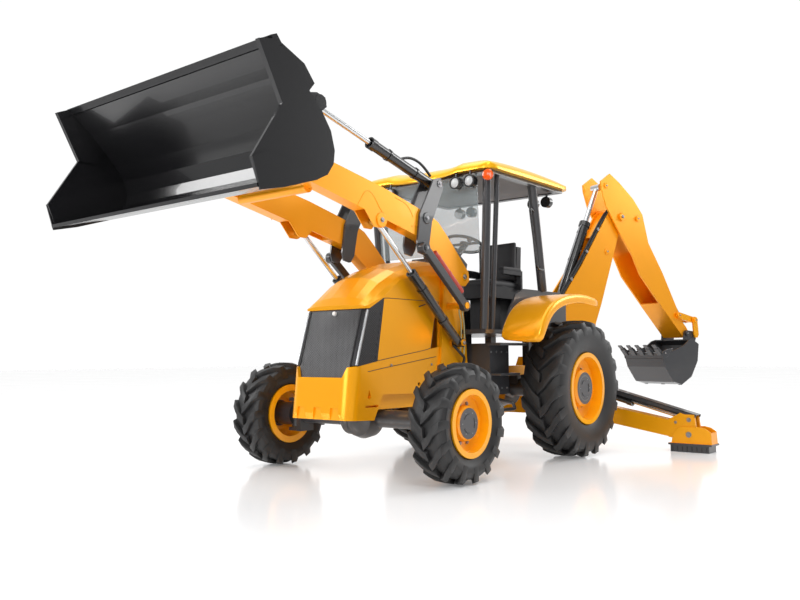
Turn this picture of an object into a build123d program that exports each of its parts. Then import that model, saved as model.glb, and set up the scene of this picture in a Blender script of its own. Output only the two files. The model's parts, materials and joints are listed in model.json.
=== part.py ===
"""Backhoe loader: front loading bucket on lift arms, open canopy, backhoe on a swinging kingpost.

Millimetres. +Z is up, -Y is forward and +X is the machine's left. Heights start at the ground.
Lengths along Y are measured from the rear axle, and every node is moved by rearAxleY at the end,
so that the origin lies on the ground under the middle of the machine.
"""

from build123d import *
import math
import os

# ---- driving dimensions -------------------------------------------------------------------
rearAxleY = 397.15  # the rear axle's place in the part's own frame
wheelbase = 2170.0

frontTyreRadius = 477.0
frontTyreWidth = 320.0
frontRimRadius = 256.0
frontTrack = 2050.0
rearTyreRadius = 677.0
rearTyreWidth = 430.0
rearRimRadius = 339.0
rearTrack = 1770.0
kingpinX = 800.0  # steering axis of each front wheel

pinRadius = 30.0
pinPlay = 0.05  # radial clearance of a pin in its bore
sideGap = 6.0  # clearance beside plates that move past each other
plate = 18.0

# Loader, side view (y, z)
armPivot = (-1310.0, 1730.0)
bucketPin = (-3300.0, 2380.0)
crankPin = (-1900.0, 2200.0)
crankLow = (-1975.0, 1930.0)
crankTop = (-1710.0, 2530.0)
bucketTop = (-3200.0, 2920.0)
liftBase = (-1325.0, 1125.0)
liftEye = (-2476.0, 2115.0)
armInner = 380.0
armOuter = 500.0
crossTube = (-3195.0, 2295.0)  # joins the two arms just behind the bucket
bucketWidth = 2370.0
bucketSkin = 20.0
liftBarrelLength = 915.0
tiltBarrelLength = 870.0

# Body, side view
noseY = -wheelbase - 545.0  # front of hood, grille and bumper
frameTop = 700.0
bodyHalf = 350.0  # half width of hood, side panels, grille and bumper
roofHalf = 800.0
roofFront = -1300.0
roofRear = 230.0
roofTop = 2880.0
wallThickness = 12.0

# Backhoe: (s, z), s is the distance from the kingpost in the plane of the boom
kingpostY = 1350.0
restSwing = 18.0  # degrees towards the machine's left
boomFoot = (280.0, 660.0)
boomRamBase = (50.0, 1150.0)
boomRamEye = (740.0, 2290.0)
dipperPivot = (970.0, 2740.0)
dipperTail = (710.0, 3110.0)
dipperRamBase = (30.0, 1620.0)
bucketRamBase = (1260.0, 2740.0)
leverPin = (1980.0, 1520.0)
leverEye = (2270.0, 1460.0)
hoeBucketPin = (2130.0, 1285.0)
hoeLinkPin = (2290.0, 1270.0)
boomHalf = 125.0
dipperHalf = 163.0
hoeBucketWidth = 620.0
boomBarrelLength = 1100.0
dipperBarrelLength = 1130.0
bucketBarrelLength = 960.0

# Stabilisers, front view (x, z), the left one
stabY = 1080.0
stabPivot = (460.0, 410.0)
stabRamBase = (330.0, 700.0)
stabFoot = (1690.0, 180.0)
stabRamEye = (1690.0, 330.0)
stabWidth = 150.0
stabBarrelLength = 760.0

# Ranges of the driven joints, in degrees from rest
boomRange = (-115.0, 8.0)  # lowered, raised
dipperRange = (-16.0, 60.0)  # crowded in, reached out
hoeBucketRange = (-10.0, 95.0)  # curled, dumped
stabRange = (0.0, 75.0)  # leg on the ground, raised
footRange = (-12.0, 40.0)

# ---- helpers ------------------------------------------------------------------------------
def add(a, b):
    return (a[0] + b[0], a[1] + b[1])


def along(a, b, distance):
    """The point at a distance from a on the line towards b, in two or three dimensions."""
    length = math.dist(a, b)
    return tuple(p + (q - p) * distance / length for p, q in zip(a, b))


def solidOf(plane, points, depth, direction, radius):
    outline = Polygon(*points, align=None)
    if radius:
        outline = fillet(outline.vertices(), radius)
    return extrude(plane * outline, depth, dir=direction)


def side(points, x0, x1, radius=0.0):
    """A plate with its outline in side view (y, z), from x0 to x1."""
    return solidOf(Plane.YZ.offset(x0), points, x1 - x0, (1, 0, 0), radius)


def front(points, y0, y1, radius=0.0):
    """A plate with its outline in front view (x, z), from y0 to y1."""
    plane = Plane((0, y0, 0), x_dir=(1, 0, 0), z_dir=(0, -1, 0))
    return solidOf(plane, points, y1 - y0, (0, 1, 0), radius)


def plan(points, z0, z1, radius=0.0):
    """A plate with its outline in plan (x, y), from z0 to z1."""
    return solidOf(Plane.XY.offset(z0), points, z1 - z0, (0, 0, 1), radius)


def block(x0, x1, y0, y1, z0, z1):
    place = Pos((x0 + x1) / 2, (y0 + y1) / 2, (z0 + z1) / 2)
    return place * Box(abs(x1 - x0), abs(y1 - y0), abs(z1 - z0))


def bar(a, b, radius):
    """A round bar between two points in space."""
    a = Vector(*a)
    b = Vector(*b)
    return extrude(Plane(a, z_dir=(b - a)) * Circle(radius), (b - a).length, dir=(b - a))


def crossPin(at, radius, x0, x1):
    """A round bar along X at the side-view point (y, z)."""
    return bar((x0, *at), (x1, *at), radius)


def longPin(at, radius, y0, y1):
    """A round bar along Y at the front-view point (x, z)."""
    return bar((at[0], y0, at[1]), (at[0], y1, at[1]), radius)


def mirrored(shape):
    return mirror(shape, Plane.YZ)


def pair(shape):
    """The shape and its mirror image on the other side, as the solids of one node."""
    return [*shape.solids(), *mirrored(shape).solids()]


def swung(shape):
    """Turns what is drawn straight behind the kingpost to the boom's rest direction."""
    return shape.moved(Location((0, kingpostY, 0)) * Location((0, 0, 0), (0, 0, -restSwing)))


def eyeAxis(crosswise):
    return Vector(1, 0, 0) if crosswise else Vector(0, 1, 0)


def barrel(base, tip, length, radius, half, crosswise=True):
    """A cylinder's barrel from the eye at its base towards tip, bored for the rod."""
    axis = eyeAxis(crosswise) * half
    gland = along(base, tip, length)
    shape = bar(base, gland, radius) + bar(along(base, tip, length - 60), gland, radius * 1.12)
    shape += bar(Vector(*base) - axis, Vector(*base) + axis, radius * 0.95)
    bottom = along(base, tip, radius * 0.95 + 15)
    shape -= bar(bottom, along(base, tip, length + 5), radius * boreShare + rodPlay)
    return shape - bar(Vector(*base) - axis * 2, Vector(*base) + axis * 2, pinRadius + pinPlay)


def rod(base, tip, length, reach, radius, half, crosswise=True):
    """The rod of that barrel, with the eye at its tip, reaching back past the gland."""
    axis = eyeAxis(crosswise) * half
    start = along(base, tip, length - reach)
    piston = along(base, tip, length - reach + pistonLength)
    shape = bar(start, tip, radius * rodShare) + bar(start, piston, radius * boreShare)
    return shape + bar(Vector(*tip) - axis, Vector(*tip) + axis, max(radius * 0.7, pinRadius + 6))


boreShare = 0.78  # bore of a barrel, as a share of its outer radius
rodShare = 0.52
rodPlay = 1.0
pistonLength = 50.0
nodes = {}


def keep(name, shape):
    """Files the node's solids, moved from the rear axle's frame to the shared one."""
    solids = shape if isinstance(shape, list) else shape.solids()
    nodes[name] = [solid.moved(Location((0, rearAxleY, 0))) for solid in solids]


def joined(shapes):
    total = shapes[0]
    for shape in shapes[1:]:
        total += shape
    return total


# ---- wheels -------------------------------------------------------------------------------
wheelTable = [
    # name, side, y, tyre radius, tyre width, rim radius, track, lugs in each row
    ("front_left", 1, -wheelbase, frontTyreRadius, frontTyreWidth, frontRimRadius, frontTrack, 13),
    ("front_right", -1, -wheelbase, frontTyreRadius, frontTyreWidth, frontRimRadius, frontTrack, 13),
    ("rear_left", 1, 0.0, rearTyreRadius, rearTyreWidth, rearRimRadius, rearTrack, 14),
    ("rear_right", -1, 0.0, rearTyreRadius, rearTyreWidth, rearRimRadius, rearTrack, 14),
]
lugHeight = 36.0
lugLean = 32.0  # degrees off the axle's direction
lugShare = 0.40  # thickness of a lug, as a share of the pitch
beadShare = 0.40  # the rim's barrel reaches this share of the tyre's width to each side
rimFlange = 14.0
seatGap = 0.3
discBack = 20.0  # back of the wheel's disc, inside the middle plane
hubPlay = 3.0
spindleRadius = 45.0
spindleDepth = 60.0  # how far a spindle reaches into its wheel


def wheelRevolve(points):
    """Turns an outline (radius, distance outwards from the wheel's middle) about the axle."""
    outline = Polygon(*[(d, r) for r, d in points], align=None)
    return revolve(Plane.XY * outline, Axis.X, 360)


def tyre(radius, width, rim, lugCount):
    """Carcass with flat facets, two to a lug's pitch, and two rows of slanted lugs."""
    h = width / 2
    bead = width * beadShare
    base = radius - lugHeight
    half = [((rim + rimFlange) / math.cos(math.pi / lugCount / 2), bead), ((rim + base) / 2, h), (base - 14, h * 0.93), (base, h * 0.70)]
    stations = [(r, -d) for r, d in half] + [(r, d) for r, d in reversed(half)]
    rings = [Plane.YZ.offset(d) * RegularPolygon(r, 2 * lugCount, rotation=90 / lugCount) for r, d in stations]
    shape = loft(rings, ruled=True) - crossPin((0, 0), rim, -h, h)
    inner, outer = 14.0, h * 0.985
    middle = (inner + outer) / 2
    lean = math.radians(lugLean)
    thick = 2 * math.pi * radius / lugCount * lugShare
    swing = (outer - middle) * math.tan(lean) + thick / 2
    top = math.sqrt(radius**2 - swing**2)
    profile = [(outer, base - 62), (outer, base - 12), (h * 0.84, top), (inner, top), (inner, base - 12)]
    for sign in (1, -1):
        plane = Plane((sign * middle, -thick / 2, 0), x_dir=(math.cos(lean), sign * math.sin(lean), 0),
                      z_dir=(-sign * math.sin(lean), math.cos(lean), 0))
        outline = Polygon(*[(sign * (x - middle) / math.cos(lean), z) for x, z in profile], align=None)
        lug = extrude(plane * Rot(0, 0, 0) * outline, thick, dir=(0, 1, 0))
        if lug.bounding_box().max.Z < 0:
            lug = Rot(180, 0, 0) * lug
        for number in range(lugCount):
            turn = 360 / lugCount * (number + (0.5 if sign > 0 else 0))
            shape += Rot(turn, 0, 0) * lug
    return shape


def wheelRim(radius, width):
    """Dished disc on the axle's end, with the rim's two flanges and the hub cap outside."""
    bead = width * beadShare + seatGap
    lip = radius + rimFlange - seatGap
    well = radius - 30
    seat = radius - seatGap
    bore = spindleRadius + pinPlay
    return wheelRevolve([
        (0, -discBack + spindleDepth + 5), (bore, -discBack + spindleDepth + 5), (bore, -discBack),
        (110, -discBack), (110, 15), (radius * 0.60, 15), (well - 14, -bead * 0.30),
        (well - 14, -bead - rimFlange), (lip, -bead - rimFlange), (lip, -bead), (seat, -bead),
        (seat, bead), (lip, bead), (lip, bead + rimFlange), (well, bead + rimFlange),
        (well, bead * 0.45), (radius * 0.66, 50), (radius * 0.57, 50), (radius * 0.53, bead * 0.72),
        (radius * 0.46, bead * 0.86), (0, bead * 0.86),
    ])


def makeWheels():
    for name, sign, y, radius, width, rim, track, lugCount in wheelTable:
        place = Pos(sign * track / 2, y, radius) * Rot(0, 0, 0 if sign > 0 else 180)
        keep("tyre_" + name, place * tyre(radius, width, rim, lugCount))
        keep("rim_" + name, place * wheelRim(rim, width))


# ---- axles and knuckles -------------------------------------------------------------------
knuckleGap = 6.0
forkHeight = 150.0
forkArm = 30.0
hubRadius = 105.0


def makeAxles():
    z = frontTyreRadius
    y = -wheelbase
    hubFace = frontTrack / 2 - discBack - hubPlay
    forkIn = kingpinX - 70
    axle = crossPin((y, z), 75, -forkIn, forkIn) + crossPin((y, z), 150, -115, 115)
    axle += bar((0, y, z), (0, y + 330, z + 10), 75)
    axle += block(-railIn + seatGap, railIn - seatGap, y - 100, y + 100, z + 90, frameTop - 15)
    for s in (1, -1):
        axle += block(s * forkIn, s * (forkIn - 60), y - 80, y + 80, z - forkHeight, z + forkHeight)
        for low in (z - forkHeight, z + forkHeight - forkArm):
            axle += block(s * (forkIn - 60), s * (kingpinX + 50), y - 60, y + 60, low, low + forkArm)
        axle -= Pos(s * kingpinX, y, z) * Cylinder(26 + pinPlay, 2 * forkHeight + 10)
    keep("front_axle", axle)
    for name, s in (("left", 1), ("right", -1)):
        post = Pos(s * kingpinX, y, z) * Cylinder(52, 2 * (forkHeight - forkArm - knuckleGap))
        post += Pos(s * kingpinX, y, z) * Cylinder(26, 2 * forkHeight)
        post += crossPin((y, z), hubRadius, s * kingpinX, s * hubFace)
        post += crossPin((y, z), spindleRadius, s * hubFace, s * (hubFace + hubPlay + spindleDepth))
        keep("knuckle_" + name, post)
    z = rearTyreRadius
    hubFace = rearTrack / 2 - discBack - hubPlay
    housing = crossPin((0, z), 95, -hubFace, hubFace) + crossPin((0, z), 185, -railIn + 10, railIn - 10)
    for s in (1, -1):
        housing += crossPin((0, z), 150, s * (hubFace - 220), s * (hubFace - 60))
        housing += crossPin((0, z), hubRadius, s * (hubFace - 60), s * hubFace)
        housing += crossPin((0, z), spindleRadius, s * hubFace, s * (hubFace + hubPlay + spindleDepth))
        housing += block(s * (railIn - 5), s * (railOut + 30), -90, 90, z, rearRailLow - seatGap)
    keep("rear_axle", housing)


# ---- chassis ------------------------------------------------------------------------------
railIn = 200.0
railOut = 280.0
railHeight = 140.0
railFront = noseY + 435.0
rearRailLow = 800.0  # underside of the rails' arch over the rear axle
towerInner = 332.0
towerOuter = 372.0
tailFront = 985.0  # the stabilisers' frame, front and rear faces
tailRear = 1175.0
tailPlate = 18.0
jawRadius = 100.0
skirtHole = (-1800.0, 760.0)
skirtHoleRadius = 18.0
link = (crankLow[0] - crankPin[0], crankLow[1] - crankPin[1])  # also from arm pivot to link pivot
linkBase = add(armPivot, link)
kingpinRadius = 60.0
jawTable = [(460.0, 510.0), (940.0, 990.0)]  # low and high face of each jaw


def panelLow(y):
    """Height of the side panels' lower edge, down to which the skirt reaches up."""
    return 968.0 + (y - noseY - 357) * 0.14


def makeChassis():
    y1 = tailFront
    rail = side([
        (railFront, frameTop - railHeight), (-300, frameTop - railHeight), (-200, rearRailLow), (200, rearRailLow),
        (300, frameTop - railHeight), (y1, frameTop - railHeight), (y1, 850), (300, 900), (-300, 900),
        (-500, frameTop), (railFront, frameTop),
    ], railIn, railOut)
    frame = rail + mirrored(rail)
    for y0 in (-wheelbase + 220, -1500, -700, 560):
        frame += block(-railIn, railIn, y0, y0 + 100, frameTop - railHeight + 20, frameTop - 10)
    tower = side([
        (-1560, frameTop), (-1060, frameTop), (-1120, 1250), (-1190, 1760), (-1250, 1840), (-1370, 1840),
        (-1440, 1740), (-1470, 1420), (-1500, 1000),
    ], towerInner, towerOuter, 20)
    tower += block(railIn, towerOuter, -1560, -1060, frameTop - 60, frameTop)
    skirt = side([(railFront, 690), (-1500, 670), (-1500, panelLow(-1500)), (railFront, panelLow(railFront))],
                 bodyHalf - plate, bodyHalf)
    skirt += block(railOut - 1, bodyHalf, -1640, -1560, frameTop - 60, frameTop)
    skirt += block(railOut - 1, bodyHalf - 1, railFront + 80, railFront + 160, frameTop - 10, frameTop)
    for at, radius, x in ((armPivot, 38.0, armOuter + 4), (linkBase, pinRadius, linkOuter + 8),
                          (liftBase, pinRadius, armOuter + 4)):
        tower += crossPin(at, radius, towerOuter - 2, x)
    skirt -= crossPin(skirtHole, skirtHoleRadius, 0, 900)
    right = tower + skirt
    frame += right + mirrored(right)
    keep("chassis_frame", frame)
    tail = None
    for y0, y1 in ((tailFront, tailFront + tailPlate), (tailRear - tailPlate, tailRear)):
        wall = front([
            (-540, 330), (540, 330), (560, 470), (400, 800), (330, 990), (-330, 990), (-400, 800),
            (-560, 470),
        ], y0, y1)
        tail = wall if tail is None else tail + wall
    for z0, z1 in ((345, 363), (960, 990)):
        tail += block(-250, 250, tailFront, tailRear, z0, z1)
    for z0, z1 in jawTable:
        tail += block(-jawRadius, jawRadius, tailFront + tailPlate, kingpostY, z0, z1)
        tail += Pos(0, kingpostY, (z0 + z1) / 2) * Cylinder(jawRadius, z1 - z0)
    tail += block(-jawRadius, jawRadius, tailFront + tailPlate, tailRear, 510, 940)
    for s in (1, -1):
        for at in (stabPivot, stabRamBase):
            tail += longPin((s * at[0], at[1]), pinRadius, tailFront, tailRear)
    tail -= bar((0, kingpostY, 300), (0, kingpostY, 1200), kingpinRadius + pinPlay)
    keep("rear_frame", tail)
    keep("engine_block", block(-230, 230, -wheelbase - 10, -1620, frameTop + seatGap, 1330))


# ---- bodywork -----------------------------------------------------------------------------
hoodRear = -1500.0
hoodLow = 1498.0
noseLow = 1400.0
bumperTop = 915.0
bumperSide = 925.0  # top of the bumper behind its rounded corners
notchLow = 835.0
cowlLow = 760.0
cornerRadius = 115.0
bumperLean = 0.108  # how far the bumper's face leans back, per height
grilleLean = 0.302
bonnetInner = towerInner - seatGap
hoodTable = [
    # y, half width, crown, shoulder, lower edge: the crease between crown and shoulder runs along the hood
    (noseY + 215, 332.0, 1436.0, 1418.0, noseLow),
    (noseY + 260, bodyHalf, 1505.0, 1434.0, noseLow + 2),
    (noseY + 445, bodyHalf, 1685.0, 1515.0, hoodLow),
    (noseY + 665, bodyHalf, 1780.0, 1665.0, hoodLow),
    (noseY + 895, bodyHalf, 1850.0, 1712.0, hoodLow),
    (hoodRear, bodyHalf, 1895.0, 1740.0, hoodLow),
]


def hoodSection(y, half, crown, shoulder, low, inset=0.0):
    half -= inset
    crown -= inset
    shoulder -= inset * 0.6
    rise = crown - shoulder
    right = [(half, low), (half, shoulder), (half * 0.93, shoulder + rise * 0.26), (half * 0.80, shoulder + rise * 0.62),
             (half * 0.55, shoulder + rise * 0.86), (half * 0.25, crown)]
    points = right + [(-x, z) for x, z in reversed(right)]
    return Plane((0, y, 0), x_dir=(1, 0, 0), z_dir=(0, -1, 0)) * Polygon(*points, align=None)


def bumperTopAt(y):
    return bumperSide + (y - noseY - 110) * 0.163


def makeBody():
    h = bodyHalf
    t = wallThickness
    n = noseY
    outer = loft([hoodSection(*row) for row in hoodTable], ruled=True)
    lowered = [(y, half, crown, shoulder, low - 60) for y, half, crown, shoulder, low in hoodTable]
    lowered[0] = (n + 215 + t, *lowered[0][1:])
    inner = loft([hoodSection(*row, inset=t) for row in lowered], ruled=True)
    cowlHalf = bonnetInner
    top = [(cowlHalf, 1740), (cowlHalf * 0.93, 1780), (cowlHalf * 0.80, 1836), (cowlHalf * 0.55, 1873),
           (cowlHalf * 0.25, 1895)]
    shape = [(cowlHalf, cowlLow)] + top
    cowl = front(shape + [(-x, z) for x, z in reversed(shape)], hoodRear + seatGap, -1200)
    cowl -= block(-cowlHalf + t, cowlHalf - t, -1600, -1212, cowlLow - 60, 1860 - t)
    keep("hood", (outer - inner).solids() + cowl.solids())
    high = hoodLow - seatGap
    panel = side([
        (n + 448, high), (n + 368, 1040), (n + 357, panelLow(n + 357) + seatGap), (-1630, panelLow(-1630) + seatGap),
        (-1570, 1330), (-1502, high),
    ], h - t, h)
    keep("side_panels", pair(panel))
    high = noseLow - seatGap
    face = n + 60  # the grille's front at the bottom of the notch
    grille = side([(face + 168, high), (face, notchLow + seatGap), (face + 52, notchLow + seatGap),
                   (face + 208, high)], -290, 290)
    grille &= front([(-246, notchLow), (246, notchLow), (290, 932), (290, 1400), (-290, 1400), (-290, 932)],
                    n - 100, n + 300)
    wing = side([
        (n + 262, noseLow + 2), (n + 116, bumperTopAt(n + 116) + seatGap), (n + 354, bumperTopAt(n + 354) + seatGap),
        (n + 365, 1040), (n + 445, hoodLow - seatGap),
    ], h - t, h)
    for z in range(985, 1380, 52):
        wing -= block(h - 4, h + 4, n + 135 + (z - 925) * 0.316, n + 345 + (z - 1040) * 0.176, z, z + 24)
    grille += wing + mirrored(wing)
    foot = 931.0  # just above the bumper's top
    for s in (1, -1):
        corner = [(s * 289, n + 92), (s * (h - 1), n + 116), (s * (h - 1), n + 137), (s * 289, n + 137)]
        grille += solidOf(Plane.XY.offset(foot), corner, (high - foot) * math.hypot(1, grilleLean),
                          (0, grilleLean, 1), 0)
    keep("grille", grille)
    nose = side([
        (n + 40, bumperTop), (n, 545), (n + 15, 492), (n + 315, 480), (n + 385, 610), (n + 425, 690),
        (railFront - seatGap, 690), (railFront - seatGap, panelLow(railFront) - 1), (n + 355, bumperTopAt(n + 355)),
        (n + 110, bumperSide),
    ], -h, h)
    for s in (1, -1):
        r = cornerRadius
        start = n - 145 * bumperLean
        corner = Pos(s * (h - r / 2 + 1), start + r / 2 - 10) * Rectangle(r + 2, r + 20)
        corner -= Pos(s * (h - r), start + r) * Circle(r)
        nose -= extrude(Plane.XY.offset(400) * corner, 600, dir=(0, bumperLean, 1))
    nose -= front([(-250, notchLow), (250, notchLow), (295, 930), (-295, 930)], n - 50, n + 100)
    nose -= block(-h + 60, h - 60, n + 100, railFront + 50, 560, 1000)
    for x0 in (-250, -60, 130):
        nose -= front([(x0, 470), (x0 + 120, 470), (x0 + 100, 590), (x0 + 20, 590)], n - 30, n + 18)
    for s in (1, -1):
        nose -= side([(n + 232, 672), (n + 255, 650), (n + 278, 672), (n + 255, 732)], s * (h + 5), s * (h - 40))
        nose -= block(s * (h + 5), s * (h - 40), n + 205, n + 365, 588, 604)
    keep("front_bumper", nose)


# ---- operator's place ---------------------------------------------------------------------
floorTop = 1250.0
fenderWall = 645.0
wallBack = 360.0
postRadius = 40.0
canopyLow = 2690.0


def makeCab():
    w = fenderWall
    t = 20.0
    floor = block(-w, w, -1180, wallBack, floorTop - 40, floorTop)
    for s in (1, -1):
        floor -= block(s * (towerInner - 7), s * (towerOuter + 7), -1190, -1050, floorTop - 50, floorTop + 10)
    for s in (1, -1):
        arch = [(-860, floorTop - 1), (-760, 1450), (-640, 1600), (-480, 1660), (250, 1660), (wallBack, 1560),
                (wallBack, floorTop - 1)]
        floor += side(arch, min(s * w, s * (w - t)), max(s * w, s * (w - t)))
    floor += block(-w, w, wallBack - t, wallBack, floorTop - 1, 1560)
    floor += block(-260, 260, 150, wallBack - t, floorTop - 1, 1700)
    for s in (1, -1):
        floor += block(s * railIn, s * railOut, -1000, -880, frameTop, floorTop - 39)
        floor += block(s * railIn, s * railOut, 200, 300, 900, floorTop - 39)
    console = side([(-1180, floorTop), (-960, floorTop), (-940, 1700), (-880, 1900), (-1000, 1980),
                    (-1150, 1960)], -240, 240)
    console += bar((0, -930, 1840), (0, -600, 2120), 34)
    console -= Pos(0, -590, 2150) * Rot(-20, 0, 0) * Pos(0, 0, -15 - seatGap + 100) * Cylinder(120, 200)
    keep("operator_platform", floor + console)
    ring = Torus(190, 16) + Box(370, 34, 14) + Cylinder(46, 30)
    controls = [Pos(0, -590, 2150) * Rot(-20, 0, 0) * ring]
    for x in (-110, 110):
        controls.append(bar((x, 240, 1700), (x, 190, 1950), 11) + Pos(x, 190, 1975) * Sphere(26))
    deck = block(-300, 300, 100, 400, 1600, 1700 + seatGap)
    keep("controls", [(one - deck).solid() for one in controls])
    seat = block(-110, 110, -330, -90, floorTop, 1600) + block(-235, 235, -440, 50, 1600, 1730)
    seat += side([(30, 1650), (130, 1650), (160, 2170), (80, 2170)], -225, 225)
    for s in (1, -1):
        seat += block(s * 236, s * 290, -300, 60, 1850, 1900) + block(s * 224, s * 290, 40, 75, 1700, 1900)
    keep("seat", seat)
    sideParts = []
    for s in (1, -1):
        sideParts += [
            bar((s * 600, -1140, floorTop), (s * 690, -1190, canopyLow + 20), postRadius),
            bar((s * 610, -1020, floorTop), (s * 700, -1040, canopyLow + 20), 24),
            bar((s * (w - 12), -110, 1659), (s * 690, -390, canopyLow + 20), postRadius + 6),
        ]
    rim = block(-740, 740, -1230, 150, canopyLow, canopyLow + 40)
    rim -= block(-670, 670, -1150, 80, canopyLow - 5, canopyLow + 45)
    canopy = joined(sideParts + [rim]) - block(-700, 700, -1300, -900, 1200, floorTop + seatGap)
    keep("canopy_frame", canopy - block(-w, w, -250, 0, 1600, 1660 + seatGap))
    top = canopyLow + 40
    roof = side([
        (roofFront, top), (roofRear, top), (roofRear + 10, top + 60), (-100, top + 130),
        (-700, roofTop), (-1100, top + 120), (roofFront - 10, top + 50),
    ], -roofHalf, roofHalf)
    keep("canopy_roof", roof)
    keep("windscreen", side([(-1196, 1965), (-1190, 1965), (-1226, canopyLow), (-1232, canopyLow)], -600, 600))
    lamps = []
    for x in (-560, -400, 400, 560):
        for y0, hung in ((-1305, canopyLow + 40), (110, canopyLow)):
            stem = bar((x, y0 + 30, 2640), (x, y0 + 30, hung - seatGap), 12)
            lamps.append(bar((x, y0, 2620), (x, y0 + 60, 2620), 58) + stem)
    keep("work_lamps", [lamp.solid() for lamp in lamps])
    tank = block(railOut + 20, 600, -1050, -720, 640, 1120)
    tank += block(railOut, railOut + 21, -1000, -800, 680, frameTop - 10)
    keep("side_tanks", pair(tank))
    under = [(-1010, 1130), (-840, 1400), (-600, 1540), (-250, 1590), (250, 1540)]
    over = [(250, 1558), (-250, 1608), (-605, 1558), (-855, 1414), (-1030, 1130)]
    lip = [(-1030, 1130), (-855, 1414), (-605, 1558), (-250, 1608), (250, 1558), (250, 1500), (-250, 1535),
           (-570, 1480), (-790, 1340), (-900, 1130)]
    fender = side(under + over, w + seatGap, 1110) + side(lip, 1095, 1110)
    keep("rear_fenders", pair(fender))


# ---- loader -------------------------------------------------------------------------------
crankGap = 5.0
cheekPlate = 8.0  # sides of the arm where it takes in the lift cylinder
armMiddle = (armInner + armOuter) / 2
crankPlates = (armInner - crankGap - plate, armOuter + crankGap)  # inner face of each plate
crankOut = armOuter + crankGap + plate
linkInner = crankOut + 6
linkOuter = linkInner + 50
earPlates = (armInner - sideGap - plate, armOuter + sideGap)


def at3(point, x=None):
    """A side-view point of the loader, in the middle of the arm."""
    return (armMiddle if x is None else x, *point)


def makeLoader():
    arm = side([
        (-3385, 2395), (-3350, 2480), (-3020, 2490), (-2440, 2385), (-2100, 2306), (-1930, 2263), (-1810, 2232), (-1700, 2190),
        (-1560, 2075), (-1240, 1780), (-1225, 1700), (-1290, 1645), (-1390, 1650), (-1900, 2010),
        (-2020, 2040), (-2390, 2120), (-2740, 2190), (-3350, 2320),
    ], armInner, armOuter, 12)
    cheeks = [(-2740, 2250), (-2560, 2050), (-2470, 2050), (-2380, 2140), (-2400, 2300)]
    arm += side(cheeks, armInner, armOuter, 10)
    arm -= side([(-2700, 1990), (-2670, 2290), (-2600, 2330), (-2330, 2315), (-2180, 2220), (-2150, 1990)],
                armInner + cheekPlate, armOuter - cheekPlate)
    for at, radius in ((armPivot, 38.0), (crankPin, pinRadius), (bucketPin, pinRadius)):
        arm -= crossPin(at, radius + pinPlay, 0, 900)
    cross = crossPin(crossTube, 45, -armInner - 5, armInner + 5)
    keep("loader_arms", arm + mirrored(arm) + cross)
    outline = [
        (-1790, 2560), (-1690, 2590), (-1650, 2500), (-1820, 2180), (-1870, 1940), (-1920, 1875),
        (-2010, 1890), (-2030, 1960), (-1990, 2230),
    ]
    cranks = joined([side(outline, x0, x0 + plate, 16) for x0 in crankPlates])
    cranks += crossPin(crankPin, pinRadius, crankPlates[0] - 2, crankOut + 4)
    cranks += crossPin(crankLow, pinRadius, crankPlates[1], linkOuter + 8)
    cranks -= crossPin(crankTop, pinRadius + pinPlay, 0, 900)
    keep("bell_cranks", pair(cranks))
    keep("crank_pins", pair(crossPin(crankTop, pinRadius, crankPlates[0] - 2, crankOut + 8)))
    linkMiddle = (linkInner + linkOuter) / 2
    low, base = at3(crankLow, linkMiddle), at3(linkBase, linkMiddle)
    beam = Plane(low, x_dir=(1, 0, 0), z_dir=Vector(*base) - Vector(*low))
    links = extrude(beam * RectangleRounded(linkOuter - linkInner, linkHeight, 8), math.dist(low, base))
    for at in (crankLow, linkBase):
        links += crossPin(at, 52, linkInner, linkOuter)
        links -= crossPin(at, pinRadius + pinPlay, 0, 900)
    keep("levelling_links", pair(links))
    strutX = linkMiddle + 3
    normal = (linkBase[1] - crankLow[1], crankLow[0] - linkBase[0])
    lift = (linkHeight / 2 + strutRadius + strutCollar + seatGap) / math.hypot(*normal)
    axis = [add(at, (-normal[0] * lift, -normal[1] * lift)) for at in (crankLow, linkBase)]
    strut = bar(at3(along(*axis, 125), strutX), at3(along(*axis, 640), strutX), strutRadius)
    for reach in (180, 380, 590):
        strut += bar(at3(along(*axis, reach), strutX), at3(along(*axis, reach + 26), strutX),
                     strutRadius + strutCollar)
    keep("safety_strut", strut)
    lift = (at3(liftBase), at3(liftEye), liftBarrelLength)
    keep("lift_barrels", pair(barrel(*lift, 42, 50)))
    keep("lift_rods", pair(rod(*lift, 327, 42, 46)))
    tilt = (at3(crankTop), at3(bucketTop), tiltBarrelLength)
    keep("tilt_barrels", pair(barrel(*tilt, 45, 50)))
    keep("tilt_rods", pair(rod(*tilt, 430, 45, 48)))
    keep("bucket_pins", pair(crossPin(bucketPin, pinRadius, earPlates[0] - 6, earPlates[1] + plate + 6)))
    keep("loader_bucket", makeBucket())


strutRadius = 24.0
strutCollar = 3.0
linkHeight = 76.0


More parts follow.
